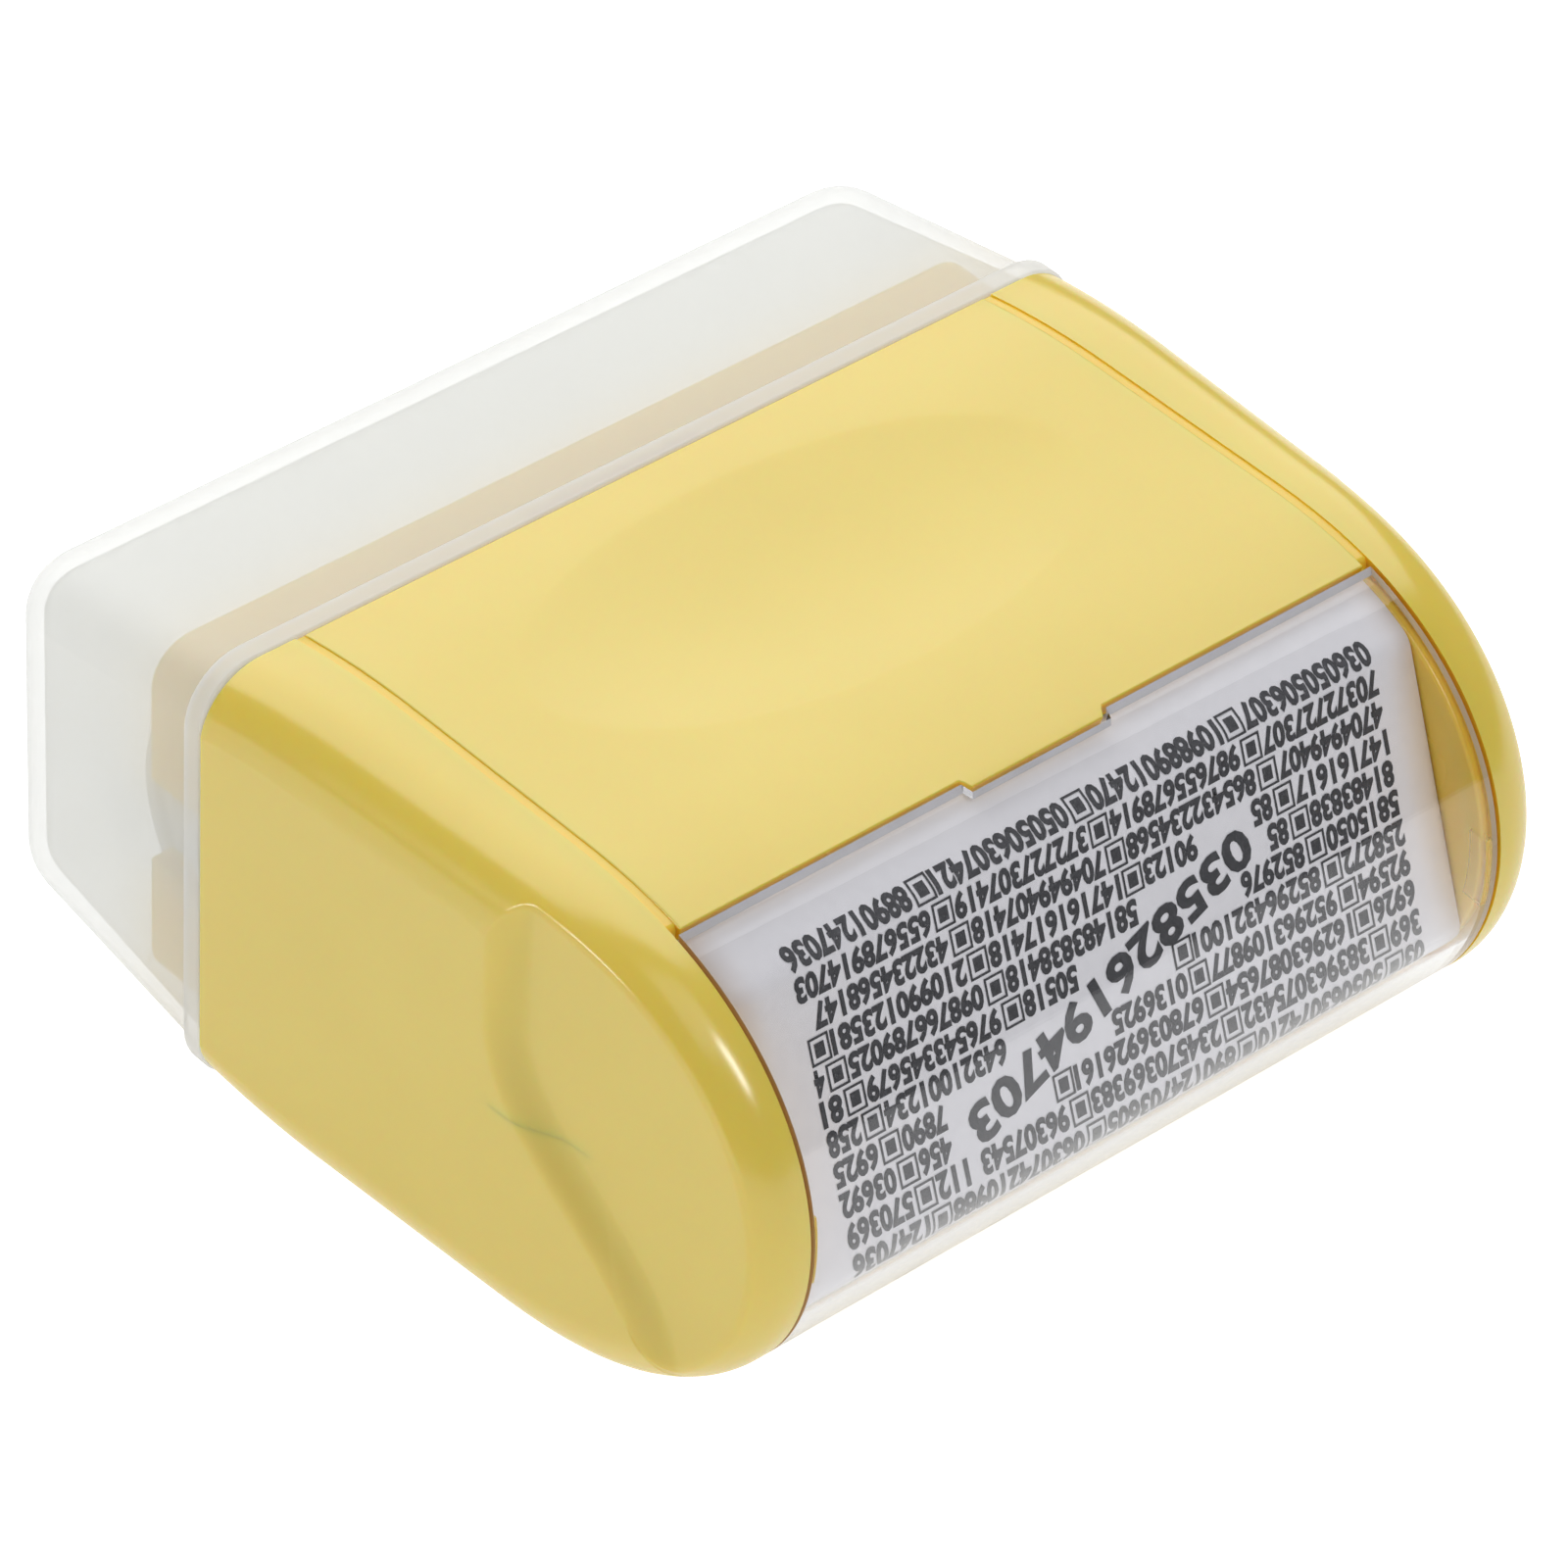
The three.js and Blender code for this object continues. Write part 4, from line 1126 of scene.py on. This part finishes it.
# Wick pad: a block of inked felt between two shelves of the frame. It holds the ink for the roller.
# Its cut faces bulge a little, and its edges are worn round.
wick_low, wick_high = (Vector(c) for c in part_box("ink_wick_pad"))
wick_waist, wick_bulge = 0.94, 0.06
wick_edge = 0.0005
mesh = bpy.data.meshes.new("wick_pad_block")
bm = bmesh.new()
bmesh.ops.create_cube(bm, size=1)
bmesh.ops.subdivide_edges(bm, edges=bm.edges, cuts=7, use_grid_fill=True)
for v in bm.verts:
    v.co.y *= wick_waist + wick_bulge * (1 - (2 * v.co.x) ** 4) * (1 - (2 * v.co.z) ** 4)
bmesh.ops.scale(bm, verts=bm.verts, vec=wick_high - wick_low)
pad = finished(mesh, bm, (wick_low + wick_high) / 2)
soft_edges(pad, wick_edge, 40)
mesh.materials.append(felt)
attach(pad, "housing")
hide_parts("ink_wick_pad")

# Filler plug: a dark rubber stopper in the filler spout under the label, with a domed head and two
# sealing rings on its stem. It is pulled out to add ink.
plug_low, plug_high = (Vector(c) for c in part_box("filler_plug"))
head_radius = (plug_high.x - plug_low.x) / 2
head_length = 0.0012
head_dome = [(0, 0.7), (0.0003, 0.93), (0.0006, 1)]
stem_radius = 0.0015
ring_depth = 0.0003
ring_half = 0.0004
ring_shares = (0.4, 0.7)
tip_chamfer = 0.0004
plug_edge = 0.00008
plug_length = plug_high.y - plug_low.y
plug_rubber = grained("plug_rubber", (0.07, 0.08, 0.09), (0.12, 0.13, 0.15), 1200, (0.6, 0.75), 0.2)
outline = [(0, 0)] + [(x, head_radius * share) for x, share in head_dome]
outline += [(head_length, head_radius), (head_length, stem_radius - ring_depth)]
for ring in ring_shares:
    at = head_length + (plug_length - head_length) * ring
    outline += [(at - ring_half, stem_radius - ring_depth), (at, stem_radius)]
    outline += [(at + ring_half, stem_radius - ring_depth)]
outline += [(plug_length, stem_radius - tip_chamfer), (plug_length, 0)]
plug_place = Vector(((plug_low.x + plug_high.x) / 2, plug_low.y, (plug_low.z + plug_high.z) / 2)) - seam_place
turned(
    "plug_stopper",
    outline,
    plug_place,
    plug_edge,
    plug_rubber,
    "housing",
    "filler_plug",
    steps=48,
    along_y=True,
)
